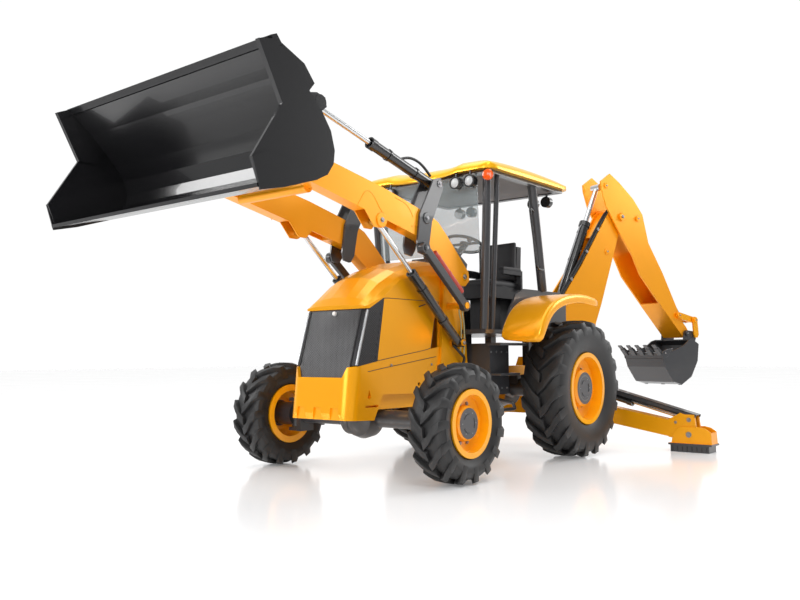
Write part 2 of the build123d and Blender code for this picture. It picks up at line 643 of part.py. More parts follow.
def makeBucket():
    w = bucketWidth / 2
    t = bucketSkin
    back = [
        (-4363, 2007), (-4180, 2055), (-3900, 2120), (-3800, 2170), (-3745, 2250), (-3735, 2340), (-3770, 2460),
        (-3850, 2570), (-4080, 2790), (-4250, 2930),
    ]
    inner = [
        (-4262, 2915), (-4094, 2776), (-3865, 2556), (-3788, 2450), (-3756, 2340), (-3764, 2258), (-3812, 2187),
        (-3906, 2140), (-4185, 2075), (-4370, 2025),
    ]
    bucket = side(back + inner, -w, w)
    wall = side([(-4383, 2895), (-4194, 2547), (-4433, 2175)] + back, w - t, w)
    upper = [(-4383, 2895), (-4194, 2547), (-4060, 2547), (-3900, 2745), (-3990, 2850), (-4250, 2955)]
    wear = [(-4433, 2175), (-4330, 2225), (-3960, 2200), (-3900, 2120), (-4180, 2030), (-4372, 1985)]
    wall += side(upper, w - t - 14, w - t + 1) + side(wear, w - 1, w + 10)
    bucket += wall + mirrored(wall)
    bucket += side([(-4385, 2000), (-4300, 2022), (-4306, 2046), (-4392, 2024)], -w + 1, w - 1)
    bucket += side([(-4262, 2900), (-4285, 2945), (-4240, 2965), (-4190, 2905)], -w + 1, w - 1)
    ear = [
        (-3830, 2680), (-3700, 2880), (-3240, 2985), (-3150, 2965), (-3135, 2895), (-3205, 2840), (-3300, 2700),
        (-3325, 2560), (-3305, 2450), (-3245, 2420), (-3236, 2350), (-3270, 2318), (-3320, 2314), (-3730, 2225),
        (-3742, 2330), (-3790, 2500),
    ]
    ears = joined([side(ear, x0, x0 + plate) for x0 in earPlates])
    for x0 in earPlates:
        ears += crossPin(bucketTop, 58, x0 - 4, x0 + plate + 4)
    bucket += ears + mirrored(ears)
    return bucket - crossPin(bucketPin, pinRadius + pinPlay, -900, 900)


# ---- backhoe ------------------------------------------------------------------------------
boomPlate = 22.0
leverIn = dipperHalf + 8
leverOut = leverIn + 22
linkIn = leverOut + 5
linkOut = linkIn + 22
earIn = dipperHalf + 5
earOut = earIn + 22
rodEyeHalf = 68.0


def at0(point):
    return (0.0, *point)


def makeCarriage():
    low, high = jawTable[0][1] + 3, jawTable[1][0] - 3
    carriage = bar((0, 0, low), (0, 0, high), 85)
    carriage += bar((0, 0, jawTable[0][0] - 20), (0, 0, jawTable[1][1] + 20), kingpinRadius)
    inner = boomHalf - boomPlate - 8
    for s in (1, -1):
        lower = [(-60, 530), (180, 530), (350, 590), (366, 700), (310, 752), (60, 920), (-60, 920)]
        upper = [(-60, 1008), (110, 1008), (125, 1150), (50, 1225), (-20, 1150)]
        carriage += side(lower, min(s * inner, s * (inner - 35)), max(s * inner, s * (inner - 35)))
        carriage += side(upper, min(s * inner, s * (inner - 22)), max(s * inner, s * (inner - 22)))
    carriage += bar((0, 0, jawTable[1][1] + 3), (0, 0, jawTable[1][1] + 28), 85)
    carriage += crossPin(boomFoot, pinRadius, -boomHalf - 6, boomHalf + 6)
    carriage += crossPin(boomRamBase, pinRadius, -inner, inner)
    keep("swing_carriage", swung(carriage))


def makeBoom():
    cheek = side([
        (200, 600), (150, 700), (150, 1020), (-40, 1480), (-60, 1640), (0, 1720), (290, 2080), (770, 2770),
        (860, 2850), (1010, 2870), (1090, 2760), (1050, 2640), (960, 2540), (885, 2340), (625, 1635),
        (520, 1390), (400, 700), (340, 590),
    ], boomHalf - boomPlate, boomHalf)
    rearWeb = side([
        (960, 2540), (885, 2340), (625, 1635), (520, 1390), (485, 1180), (473, 1180), (508, 1393),
        (613, 1638), (873, 2344), (940, 2533),
    ], -boomHalf + 1, boomHalf - 1)
    frontWeb = side([(600, 2474), (790, 2745), (870, 2822), (960, 2830), (900, 2800), (815, 2725), (620, 2462)],
                    -boomHalf + 1, boomHalf - 1)
    boom = cheek + mirrored(cheek) + rearWeb + frontWeb
    boom += crossPin(dipperPivot, 100, -boomHalf, boomHalf)
    boom -= crossPin(boomFoot, pinRadius + pinPlay, -300, 300)
    boom -= crossPin(dipperPivot, 45 + pinPlay, -300, 300)
    boom += crossPin(dipperRamBase, pinRadius, -boomHalf, boomHalf)
    keep("boom", swung(boom))


def makeDipper():
    cheek = side([
        (620, 3160), (780, 3270), (950, 3170), (1190, 2990), (1360, 2800), (1460, 2440), (1720, 2060),
        (2010, 1560), (2085, 1430), (2150, 1370), (2195, 1310), (2190, 1250),
        (2090, 1230), (1640, 1670), (1290, 2020), (1150, 2270),
        (910, 2560), (710, 2850), (630, 3070),
    ], dipperHalf - boomPlate, dipperHalf)
    back = side([
        (1455, 2367), (1700, 2060), (2005, 1555), (2090, 1430), (2070, 1416), (1985, 1545), (1682, 2045),
        (1439, 2353),
    ], -dipperHalf + 1, dipperHalf - 1)
    belly = side([(1640, 1670), (2090, 1230), (2108, 1246), (1668, 1684)], -dipperHalf + 1, dipperHalf - 1)
    dipper = cheek + mirrored(cheek) + back + belly
    dipper += crossPin(hoeBucketPin, 60, -dipperHalf, dipperHalf)
    dipper += crossPin(dipperPivot, 45, -dipperHalf - 14, dipperHalf + 14)
    dipper += crossPin(leverPin, pinRadius, -leverOut - 4, leverOut + 4)
    dipper += crossPin(bucketRamBase, pinRadius, -dipperHalf - 10, dipperHalf + 10)
    dipper -= crossPin(hoeBucketPin, pinRadius + pinPlay, -400, 400)
    keep("dipper", swung(dipper))


def makeTipping():
    outline = [(1940, 1550), (1990, 1560), (2280, 1500), (2310, 1460), (2270, 1420), (1970, 1480), (1940, 1500)]
    levers = side(outline, leverIn, leverOut) - crossPin(leverPin, pinRadius + pinPlay, 0, 400)
    levers += crossPin(leverEye, pinRadius, rodEyeHalf + 8, linkOut + 6)
    keep("tipping_levers", [swung(one) for one in pair(levers)])
    outline = [(2225, 1480), (2250, 1505), (2300, 1500), (2315, 1460), (2335, 1270), (2310, 1228), (2265, 1228),
               (2245, 1270)]
    links = side(outline, linkIn, linkOut) - crossPin(leverEye, pinRadius + pinPlay, 0, 400)
    keep("tipping_links", [swung(one) for one in pair(links)])


def makeHoeBucket():
    w = hoeBucketWidth / 2
    t = 14.0
    shell = [
        (1480, 1030), (1540, 850), (1690, 660), (1860, 620), (2050, 720), (2180, 920), (2210, 1140),
        (2090, 1205),
    ]
    inner = [
        (2085, 1190), (2195, 1130), (2165, 925), (2042, 732), (1858, 635), (1697, 673), (1552, 857),
        (1495, 1035),
    ]
    bucket = side(shell + inner, -w, w)
    wall = side(shell + [(2010, 1185), (1910, 1120), (1700, 1050)], w - t, w)
    bucket += wall + mirrored(wall)
    ear = [(2070, 1190), (2085, 1300), (2120, 1325), (2290, 1310), (2330, 1270), (2300, 1190), (2205, 1100),
           (2195, 1135)]
    ears = side(ear, earIn, earOut) + crossPin(hoeLinkPin, pinRadius, earIn - 3, linkIn - 2)
    bucket += ears + mirrored(ears)
    bucket += crossPin(hoeBucketPin, pinRadius, -earOut - 6, earOut + 6)
    for x in (-280, -140, 0, 140, 280):
        bucket += side([(1495, 1010), (1480, 1045), (1370, 1130), (1360, 1120)], x - 28, x + 28)
    keep("hoe_bucket", swung(bucket))


def makeHoe():
    makeCarriage()
    makeBoom()
    makeDipper()
    makeTipping()
    makeHoeBucket()
    for name, base, tip, length, reach, radius in (
        ("boom", boomRamBase, boomRamEye, boomBarrelLength, 940, 58),
        ("dipper", dipperRamBase, dipperTail, dipperBarrelLength, 240, 60),
        ("bucket", bucketRamBase, leverEye, bucketBarrelLength, 230, 52),
    ):
        keep(name + "_barrel", swung(barrel(at0(base), at0(tip), length, radius, rodEyeHalf)))
        keep(name + "_rod", swung(rod(at0(base), at0(tip), length, reach, radius, rodEyeHalf)))


# ---- stabilisers --------------------------------------------------------------------------


def makeStabilisers():
    y0 = stabY - stabWidth / 2
    y1 = stabY + stabWidth / 2
    foot = stabFoot
    leg = front([
        (stabPivot[0] - 60, 400), (stabPivot[0] - 20, 495), (800, 445), (1470, 325), (1600, 400), (1650, 385),
        (1745, 385), (1760, 260), (1745, 130), (1640, 125), (1480, 150), (770, 270), (480, 345),
    ], y0, y1)
    leg -= front([(1480, 260), (1520, 420), (1800, 420), (1800, 110), (1480, 110)], y0 + 30, y1 - 30)
    leg += front([(1470, 325), (1500, 330), (1500, 140), (1470, 145)], y0, y1)
    leg -= longPin(stabPivot, pinRadius + pinPlay, y0 - 50, y1 + 50)
    leg -= longPin(foot, pinRadius + pinPlay, y0 - 50, y1 + 50)
    pad = front([(1480, 70), (1930, 70), (1930, 90), (1480, 90)], y0 - 40, y1 + 40)
    pad += front([(1500, 0), (1900, 0), (1900, 71), (1500, 71)], y0 - 30, y1 + 30)
    for x0 in (y0 + 30 + sideGap, y1 - 30 - sideGap - 20):
        pad += front([(1600, 89), (1780, 89), (1740, 215), (1690, 235), (1640, 215)], x0, x0 + 20)
    pad += longPin(foot, pinRadius, y0 - 8, y1 + 8)
    base = (stabRamBase[0], stabY, stabRamBase[1])
    tip = (stabRamEye[0], stabY, stabRamEye[1])
    tube = barrel(base, tip, stabBarrelLength, 52, 60, crosswise=False)
    piston = rod(base, tip, stabBarrelLength, 300, 52, 34, crosswise=False)
    for name, s in (("left", 1), ("right", -1)):
        for node, shape in (("stabiliser_leg_", leg), ("stabiliser_pad_", pad),
                            ("stabiliser_barrel_", tube), ("stabiliser_rod_", piston)):
            keep(node + name, shape if s > 0 else mirrored(shape))


makeWheels()
makeAxles()
makeChassis()
makeBody()
makeCab()
makeLoader()
makeHoe()
makeStabilisers()

os.makedirs("parts", exist_ok=True)
for name, shape in nodes.items():
    export_step(Compound(children=shape) if len(shape) > 1 else shape[0], f"parts/{name}.step")
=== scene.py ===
import json
import math

import bmesh
import bpy
from mathutils import Euler, Matrix, Vector


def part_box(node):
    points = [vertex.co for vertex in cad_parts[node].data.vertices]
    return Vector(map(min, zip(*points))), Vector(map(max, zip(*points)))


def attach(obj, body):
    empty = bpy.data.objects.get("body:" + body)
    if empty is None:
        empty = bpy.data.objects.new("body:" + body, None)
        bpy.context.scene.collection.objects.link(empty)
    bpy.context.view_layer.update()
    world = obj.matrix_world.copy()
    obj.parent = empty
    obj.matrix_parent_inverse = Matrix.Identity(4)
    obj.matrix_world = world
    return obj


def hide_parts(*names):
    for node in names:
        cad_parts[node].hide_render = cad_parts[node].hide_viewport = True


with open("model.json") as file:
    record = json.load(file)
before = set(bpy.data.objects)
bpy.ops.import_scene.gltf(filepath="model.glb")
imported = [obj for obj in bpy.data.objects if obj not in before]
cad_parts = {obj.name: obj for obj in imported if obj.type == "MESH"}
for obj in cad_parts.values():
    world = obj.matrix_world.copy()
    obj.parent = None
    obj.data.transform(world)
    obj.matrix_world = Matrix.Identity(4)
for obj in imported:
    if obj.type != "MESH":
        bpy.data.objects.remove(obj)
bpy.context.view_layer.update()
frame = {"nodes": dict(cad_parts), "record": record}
print("frame loaded")

rearLow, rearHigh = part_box("rim_rear_left")
rearY = (rearLow[1] + rearHigh[1]) / 2  # places along Y are measured from the rear axle
sharpAngle = math.radians(35)  # an edge that turns by more is rounded or split
sides = (("Left", 1), ("Right", -1))

wheelLook = {  # the axle's place, then the hub cap, its marks, the wheel nuts and the painted hub
    "front": {"y": -2.17, "z": 0.477, "cap": 0.126, "face": 1.135, "mark": 0.074, "nuts": 10,
              "circle": 0.158, "disc": 1.075, "greyHub": 0.121},
    "rear": {"y": 0.0, "z": 0.677, "cap": 0.136, "face": 1.034, "mark": 0.08, "nuts": 12,
             "circle": 0.209, "disc": 0.935, "greyHub": 0.158},
}


def place(x, y, z):
    return Vector((x, y + rearY, z))


def mirrored(points, side):
    return [place(side * x, y, z) for x, y, z in points]


def onPlane(x, points):
    return [place(x, y, z) for y, z in points]


class Sock:  # a shader socket that adds, multiplies and so on
    def __init__(self, tree, socket):
        self.tree = tree
        self.socket = socket

    def maths(self, operation, other=None, clamp=False):
        node = self.tree.nodes.new("ShaderNodeMath")
        node.operation = operation
        node.use_clamp = clamp
        for slot, value in enumerate((self, other)):
            if isinstance(value, Sock):
                self.tree.links.new(value.socket, node.inputs[slot])
            elif value is not None:
                node.inputs[slot].default_value = value
        return Sock(self.tree, node.outputs[0])

    def __add__(self, other):
        return self.maths("ADD", other)

    def __sub__(self, other):
        return self.maths("SUBTRACT", other)

    def __mul__(self, other):
        return self.maths("MULTIPLY", other)

    def __truediv__(self, other):
        return self.maths("DIVIDE", other)

    def __pow__(self, other):
        return self.maths("POWER", other)

    def above(self, level, soft=0.05):
        return ((self - level) / soft).maths("ADD", 0.5, clamp=True)

    def below(self, level, soft=0.05):
        return ((self * -1 + level) / soft).maths("ADD", 0.5, clamp=True)


class Shader:
    def __init__(self, name):
        self.material = bpy.data.materials.new(name)
        self.material.use_nodes = True
        self.tree = self.material.node_tree
        self.tree.nodes.clear()
        self.output = self.tree.nodes.new("ShaderNodeOutputMaterial")
        self.surface = self.node("ShaderNodeBsdfPrincipled")
        self.tree.links.new(self.surface.outputs[0], self.output.inputs[0])
        self.coordinates = self.node("ShaderNodeTexCoord").outputs["Object"]

    def node(self, kind, inputs=(), **settings):
        made = self.tree.nodes.new(kind)
        for key, value in settings.items():
            setattr(made, key, value)
        for key, value in dict(inputs).items():
            if isinstance(value, Sock):
                value = value.socket
            if isinstance(value, bpy.types.NodeSocket):
                self.tree.links.new(value, made.inputs[key])
            else:
                made.inputs[key].default_value = value
        return made

    def axes(self):
        split = self.node("ShaderNodeSeparateXYZ", {0: self.coordinates})
        return [Sock(self.tree, out) for out in split.outputs]

    def noise(self, scale, detail=3.0, roughness=0.5, stretch=None):
        source = self.coordinates
        if stretch:
            source = self.node("ShaderNodeMapping", {"Vector": source, "Scale": stretch}).outputs[0]
        settings = {"Vector": source, "Scale": scale, "Detail": detail, "Roughness": roughness}
        return Sock(self.tree, self.node("ShaderNodeTexNoise", settings).outputs[0])

    def cells(self, scale):
        made = self.node("ShaderNodeTexVoronoi", {"Vector": self.coordinates, "Scale": scale})
        return Sock(self.tree, made.outputs[0])

    def blend(self, factor, first, second):
        made = self.node("ShaderNodeMix", data_type="RGBA")
        for index, value in ((0, factor), (6, first), (7, second)):
            if isinstance(value, Sock):
                self.tree.links.new(value.socket, made.inputs[index])
            elif isinstance(value, bpy.types.NodeSocket):
                self.tree.links.new(value, made.inputs[index])
            else:
                made.inputs[index].default_value = value if index == 0 else (*value, 1.0)
        return Sock(self.tree, made.outputs[2])

    def bump(self, height, strength=0.2, distance=0.002):
        made = self.node("ShaderNodeBump", {"Height": height, "Strength": strength, "Distance": distance})
        self.tree.links.new(made.outputs[0], self.surface.inputs["Normal"])

    def set(self, **values):
        names = {"colour": "Base Color", "roughness": "Roughness", "metallic": "Metallic",
                 "coat": "Coat Weight", "alpha": "Alpha"}
        for key, value in values.items():
            target = self.surface.inputs[names[key]]
            if isinstance(value, Sock):
                self.tree.links.new(value.socket, target)
            elif key == "colour":
                target.default_value = (*value, 1.0)
            else:
                target.default_value = value
        return self


def makePaint(name, colour, roughness=0.26, coat=0.15, dust=0.05, metallic=0.0):
    s = Shader(name)
    x, y, z = s.axes()
    cloud = s.noise(1.7, 4.0, 0.55)
    fine = s.noise(38.0, 4.0, 0.6)
    dusty = (z.below(0.75, 1.1) * 0.7 + 0.3) * cloud.above(0.52, 0.35) * dust  # more of it low down
    shade = s.blend(cloud.above(0.5, 0.6) * 0.35, colour, tuple(c * palette["shade"] for c in colour))
    s.set(colour=s.blend(dusty, shade, palette["dust"]), metallic=metallic, coat=coat)
    s.set(roughness=fine * 0.03 + dusty * 1.2 + (roughness - 0.015))
    s.bump(s.noise(3.0, 2.0), 0.03, 0.001)
    return s.material


def makeRim(name, look):  # yellow wheel paint round a grey hub
    s = Shader(name)
    x, y, z = s.axes()
    out = ((y - (look["y"] + rearY)) ** 2.0 + (z - look["z"]) ** 2.0).maths("SQRT")
    cloud = s.noise(3.0, 4.0, 0.55)
    hub = out.below(look["greyHub"], 0.002)
    # the rim paint turns darker and browner towards the hub, in cloudy patches
    darkNearHub = ((out * -1 + look["greyHub"] + 0.1) * 6.0).maths("ADD", 0.0, clamp=True) * cloud * 0.5
    yellow = s.blend(darkNearHub, palette["yellow"], palette["darkNearHub"])
    s.set(colour=s.blend(hub, yellow, palette["hub"]), metallic=0.0, coat=0.3)
    s.set(roughness=hub * 0.18 + cloud * 0.12 + 0.24)
    s.bump(s.noise(150.0, 2.0), 0.08, 0.001)
    return s.material


def makeRubber():
    s = Shader("tyreRubber")
    x, y, z = s.axes()
    cloud = s.noise(5.0, 5.0, 0.6)
    grain = s.noise(240.0, 3.0, 0.6)
    colour = s.blend(cloud.above(0.5, 0.5) * 0.5, (0.012, 0.012, 0.013), (0.03, 0.029, 0.028))
    s.set(colour=s.blend(z.below(0.1, 0.25) * cloud * 0.25, colour, (0.1, 0.09, 0.075)))
    s.set(roughness=cloud * 0.22 + 0.36, metallic=0.0)
    s.bump(grain + cloud * 3.0, 0.25, 0.001)
    return s.material


def makeMetal(name, colour, roughness, lines=0.0):
    s = Shader(name)
    grain = s.noise(60.0, 3.0, 0.6, stretch=(1.0, 1.0, 12.0))
    cloud = s.noise(4.0, 3.0)
    s.set(colour=s.blend(cloud * 0.4, colour, tuple(c * 0.75 for c in colour)), metallic=1.0)
    s.set(roughness=grain * 0.08 + cloud * 0.08 + roughness)
    s.bump(grain, 0.05 + lines, 0.0006)
    return s.material


def makePlastic(name, colour, roughness=0.5, grain=420.0):
    s = Shader(name)
    texture = s.cells(grain)
    cloud = s.noise(6.0, 3.0)
    s.set(colour=s.blend(cloud * 0.5, colour, tuple(c * 1.7 + 0.004 for c in colour)), metallic=0.0)
    s.set(roughness=cloud * 0.15 + roughness - 0.05)
    s.bump(texture, 0.18, 0.0008)
    return s.material


def makeGlass(name, colour, alpha):
    s = Shader(name)
    smear = s.noise(7.0, 4.0, 0.6)
    s.set(colour=colour, metallic=0.0, coat=0.3)
    s.set(alpha=smear * 0.08 + alpha, roughness=smear * 0.06 + 0.02)
    return s.material


def makeGrille():
    s = Shader("grillePerforated")
    x, y, z = s.axes()
    perMetre = 72.0
    along = x * perMetre + y * perMetre
    u = along.maths("FRACT") - 0.5
    v = (z * perMetre + along.maths("FLOOR") * 0.5).maths("FRACT") - 0.5  # each second column half a step up
    hole = (u * u + v * v).maths("SQRT").below(0.3, 0.12)
    cloud = s.noise(5.0, 3.0)
    # the holes are painted near black: painted shade seen through the perforations
    s.set(colour=s.blend(hole, (0.03, 0.03, 0.033), (0.002, 0.002, 0.002)), metallic=0.0)
    s.set(roughness=cloud * 0.2 + hole * 0.4 + 0.25)
    s.bump(hole * -1.0 + 1.0, 0.6, 0.003)
    return s.material


palette = {
    "yellow": (1.0, 0.42, 0.003),
    "orange": (1.0, 0.385, 0.003),
    # the roof's yellow is the body yellow made lighter and yellower: painted highlight on the roof top
    "roof": (1.0, 0.5, 0.003),
    "charcoal": (0.035, 0.036, 0.04),
    "black": (0.008, 0.008, 0.009),
    "red": (0.5, 0.035, 0.02),
    "dust": (0.36, 0.31, 0.24),
    "darkNearHub": (0.3, 0.13, 0.01),
    # the darker, browner colour the rims take towards the hub
    "hub": (0.065, 0.065, 0.07),
    "shade": 0.84,  # how dark a paint's cloudy patches are against its own colour
}
yellowPaint = makePaint("yellowPaint", palette["yellow"], coat=0.06, dust=0.0, metallic=0.35)
orangePaint = makePaint("orangePaint", palette["orange"], 0.3, coat=0.06, dust=0.01, metallic=0.35)
# the roof's material: the body yellow lighter and yellower, a painted highlight on the roof top
roofHighlightPaint = makePaint("roofHighlightPaint", palette["roof"], 0.28, coat=0.06, dust=0.0, metallic=0.4)
charcoalPaint = makePaint("charcoalPaint", palette["charcoal"], 0.34, 0.35)
bucketPaint = makePaint("bucketPaint", palette["black"], 0.24, 0.3, dust=0.0)
blackPaint = makePaint("blackPaint", palette["black"], 0.22, 0.6)
frontRimPaint = makeRim("frontRimPaint", wheelLook["front"])
rearRimPaint = makeRim("rearRimPaint", wheelLook["rear"])
redPaint = makePaint("redPaint", palette["red"], 0.35, 0.3)
rubber = makeRubber()
chrome = makeMetal("rodChrome", (0.72, 0.73, 0.74), 0.1)
steel = makeMetal("pinSteel", (0.32, 0.32, 0.33), 0.32, 0.1)
hubGrey = makePaint("hubGrey", (0.12, 0.12, 0.125), 0.4, 0.1)
blackPlastic = makePlastic("blackPlastic", (0.012, 0.012, 0.013))
hoseRubber = makePlastic("hoseRubber", (0.01, 0.01, 0.011), 0.42, 700.0)
vinyl = makePlastic("seatVinyl", (0.016, 0.016, 0.018), 0.55, 260.0)
grilleMesh = makeGrille()
clearGlass = makeGlass("clearGlass", (0.3, 0.36, 0.38), 0.34)
lampLens = makeGlass("lampLens", (0.85, 0.88, 0.9), 0.45)
amberLens = makeGlass("amberLens", (0.85, 0.1, 0.01), 0.92)
whiteKnob = makePlastic("whiteKnob", (0.62, 0.62, 0.6), 0.35, 300.0)
silver = makeMetal("mouldingSilver", (0.55, 0.56, 0.57), 0.25)
brassLine = makeMetal("platedPipe", (0.52, 0.5, 0.3), 0.28)
liner = makePlastic("headliner", (0.17, 0.17, 0.175), 0.7, 200.0)
print("materials made")

finishOf = {
    "yellow_paint": yellowPaint, "orange_paint": orangePaint, "charcoal_paint": charcoalPaint,
    "black_paint": blackPaint, "red_paint": redPaint, "rim_paint": frontRimPaint, "tyre_rubber": rubber,
    "chrome": chrome, "pin_steel": steel, "black_plastic": blackPlastic, "seat_cover": vinyl,
    "clear_glass": clearGlass, "lamp_glass": blackPlastic,
}
special = {
    "rim_rear_left": rearRimPaint, "rim_rear_right": rearRimPaint, "engine_block": charcoalPaint,
    "controls": vinyl, "windscreen": clearGlass, "work_lamps": blackPaint, "loader_bucket": bucketPaint,
    "hoe_bucket": charcoalPaint, "canopy_roof": roofHighlightPaint, "grille": grilleMesh,
    "canopy_frame": charcoalPaint,
}
rubberHose = ("black_plastic", hoseRubber)
edgeWidth = {"front_bumper": 0.022, "hood": 0.012, "canopy_roof": 0.02, "rear_fenders": 0.008, "seat": 0.014}
usualEdge = 0.004


def roundEdges(obj, name, width, segments):
    rounding = obj.modifiers.new(name, "BEVEL")
    rounding.width = width
    rounding.segments = segments
    rounding.limit_method = "ANGLE"
    rounding.angle_limit = sharpAngle


for piece in frame["record"]["subparts"]:
    node = frame["nodes"][piece["node"]]
    node.data.materials.clear()
    node.data.materials.append(special.get(piece["node"]) or finishOf[piece["material_slot"]])
    width = edgeWidth.get(piece["node"], usualEdge)
    roundEdges(node, "softEdges", width, 2 if width == usualEdge else 4)


def newObject(name, data):
    obj = bpy.data.objects.new(name, data)
    bpy.context.scene.collection.objects.link(obj)
    return obj


def evaluatedMesh(holder):  # the mesh that a curve or a modifier makes, in place of its holder
    bpy.context.view_layer.update()
    mesh = bpy.data.meshes.new_from_object(holder.evaluated_get(bpy.context.evaluated_depsgraph_get()))
    bpy.data.objects.remove(holder)
    return mesh


# a finish is a material slot's name, or a slot's name and a material of its own
def finishPiece(name, mesh, body, finish, smooth=True, bevel=0.0):
    slotName, material = finish if isinstance(finish, tuple) else (finish, finishOf[finish])
    obj = newObject(name, mesh)
    mesh.materials.clear()
    mesh.materials.append(material)
    if smooth:
        for face in mesh.polygons:
            face.use_smooth = True
    if bevel:
        roundEdges(obj, "bevel", bevel, 2)
    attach(obj, body)
    return obj


def meshFrom(name, builder):
    bm = bmesh.new()
    builder(bm)
    mesh = bpy.data.meshes.new(name)
    bmesh.ops.recalc_face_normals(bm, faces=bm.faces)
    bm.to_mesh(mesh)
    bm.free()
    return mesh


def frameOf(direction):
    w = Vector(direction).normalized()
    u = Vector((0, 0, 1)).cross(w)
    if u.length < 1e-4:  # the direction is upright
        u = Vector((1, 0, 0)).cross(w)
    u.normalize()
    return u, w.cross(u), w


# turns a profile of pairs, distance along the axis and radius; a closed one makes a ring
def addLathe(bm, origin, axis, profile, steps, closed=False):
    u, v, w = frameOf(axis)
    rings = []
    for along, radius in profile:
        centre = Vector(origin) + w * along
        if radius < 1e-6:
            rings.append([bm.verts.new(centre)])
            continue
        rings.append([bm.verts.new(centre + (u * math.cos(a) + v * math.sin(a)) * radius)
                      for a in (2 * math.pi * k / steps for k in range(steps))])
    for first, second in zip(rings, rings[1:] + ([rings[0]] if closed else [])):
        for k in range(steps):
            a, b = first[k % len(first)], first[(k + 1) % len(first)]
            c, d = second[(k + 1) % len(second)], second[k % len(second)]
            corners = list(dict.fromkeys((a, b, c, d)))  # one point of a ring may serve twice, at a tip
            if len(corners) > 2:
                bm.faces.new(corners)
    for ring in () if closed else (rings[0], rings[-1]):
        if len(ring) > 2:
            bm.faces.new(ring)


def hose(name, points, radius, body, finish, straight=False):
    curve = bpy.data.curves.new(name, "CURVE")
    curve.dimensions = "3D"
    curve.bevel_depth = radius
    curve.bevel_resolution = 3
    curve.resolution_u = 10
    curve.use_fill_caps = True
    spline = curve.splines.new("NURBS")
    spline.points.add(len(points) - 1)
    for point, at in zip(spline.points, points):
        point.co = (*at, 1.0)
    spline.order_u = 2 if straight else 3
    spline.use_endpoint_u = True
    finishPiece(name, evaluatedMesh(newObject(name + "Curve", curve)), body, finish)


# a flat plate: its outline as pairs, then where its first face is and its thickness along the third axis
def plateMesh(bm, outline, start, across, turnTo):
    near = [bm.verts.new(turnTo(a, b, start)) for a, b in outline]
    far = [bm.verts.new(turnTo(a, b, start + across)) for a, b in outline]
    bm.faces.new(near)
    bm.faces.new(list(reversed(far)))
    for k in range(len(outline)):
        n = (k + 1) % len(outline)
        bm.faces.new((near[k], far[k], far[n], near[n]))


def sideView(a, b, x):
    return place(x, a, b)


def frontView(a, b, y):
    return place(a, y, b)


hoeTurn, hoePivot = math.radians(18.0), 1.35  # how far the backhoe is swung at rest, and its pivot


def hoeView(s, z, w):  # s runs out from the swing pivot and w across the boom
    sine, cosine = math.sin(hoeTurn), math.cos(hoeTurn)
    return place(s * sine + w * cosine, hoePivot + s * cosine - w * sine, z)


def repeats(name, layout):  # a node group that sets copies of a piece on a ring, or in a row
    group = bpy.data.node_groups.new(name, "GeometryNodeTree")
    for label, kind in (("Piece", "Object"), ("Count", "Int"), ("Reach", "Float"), ("Step", "Vector"),
                        ("Material", "Material")):
        group.interface.new_socket(label, in_out="INPUT", socket_type="NodeSocket" + kind)
    group.interface.new_socket("Geometry", in_out="OUTPUT", socket_type="NodeSocketGeometry")
    kinds = {"given": "NodeGroupInput", "points": layout, "info": "GeometryNodeObjectInfo",
             "turn": "FunctionNodeRandomValue", "copies": "GeometryNodeInstanceOnPoints",
             "real": "GeometryNodeRealizeInstances", "paint": "GeometryNodeSetMaterial",
             "out": "NodeGroupOutput"}
    made = {key: group.nodes.new(kind) for key, kind in kinds.items()}
    made["turn"].data_type = "FLOAT_VECTOR"
    made["turn"].inputs["Min"].default_value = (0, 0, 0)
    made["turn"].inputs["Max"].default_value = (0, 0, math.pi)
    made["turn"].inputs["Seed"].default_value = 7
    ring = layout == "GeometryNodeMeshCircle"
    for source, output, target, socket in (
            ("given", "Piece", "info", "Object"),
            ("given", "Count", "points", "Vertices" if ring else "Count"),
            ("given", "Reach" if ring else "Step", "points", "Radius" if ring else "Offset"),
            ("points", "Mesh", "copies", "Points"),
            ("info", "Geometry", "copies", "Instance"),
            ("turn", 0, "copies", "Rotation"),
            ("copies", "Instances", "real", "Geometry"),
            ("real", "Geometry", "paint", "Geometry"),
            ("given", "Material", "paint", "Material"),
            ("paint", "Geometry", "out", "Geometry")):
        group.links.new(made[source].outputs[output], made[target].inputs[socket])
    return group


ringOf = repeats("ringOfPieces", "GeometryNodeMeshCircle")
rowOf = repeats("rowOfPieces", "GeometryNodeMeshLine")


def hexBolt():  # a washer and a six-sided head one metre in radius; each bolt scales them down
    def build(bm):
        addLathe(bm, (0, 0, -0.004), (0, 0, 1), [(0.0, 1.35), (0.3, 1.35), (0.3, 0.0)], 18)
        addLathe(bm, (0, 0, 0.3), (0, 0, 1), [(-0.05, 1.0), (0.5, 1.0), (0.62, 0.86), (0.62, 0.0)], 6)
    return newObject("hexBolt", meshFrom("hexBolt", build))


boltPiece = hexBolt()


def boltCopies(group, matrix, count, reach=0.0, step=(0, 0, 0)):
    holder = newObject("holder", bpy.data.meshes.new("holder"))
    modifier = holder.modifiers.new("repeat", "NODES")
    modifier.node_group = group
    given = {"Piece": boltPiece, "Count": count, "Reach": reach, "Step": step, "Material": steel}
    for item in group.interface.items_tree:
        if item.item_type == "SOCKET" and item.in_out == "INPUT":
            modifier[item.identifier] = given[item.name]
    mesh = evaluatedMesh(holder)
    mesh.transform(matrix)
    return mesh


# each set is a centre, an axis and a size; several bolts add their count and a ring's radius or a row's step
def bolts(name, body, sets):
    parts = []
    for centre, axis, size, *rest in sets:
        count, layout = rest or (1, (0, 0, 0))
        u, v, w = frameOf(axis)
        matrix = Matrix.Translation(centre) @ Matrix((u, v, w)).transposed().to_4x4() @ Matrix.Scale(size, 4)
        if isinstance(layout, float):
            parts.append(boltCopies(ringOf, matrix, count, reach=layout / size))
        else:
            row = Vector(layout)
            step = Vector((row.dot(u), row.dot(v), row.dot(w))) / size
            parts.append(boltCopies(rowOf, matrix, count, step=tuple(step)))

    def build(bm):
        for part in parts:
            bm.from_mesh(part)
    finishPiece(name, meshFrom(name, build), body, "pin_steel", smooth=False)


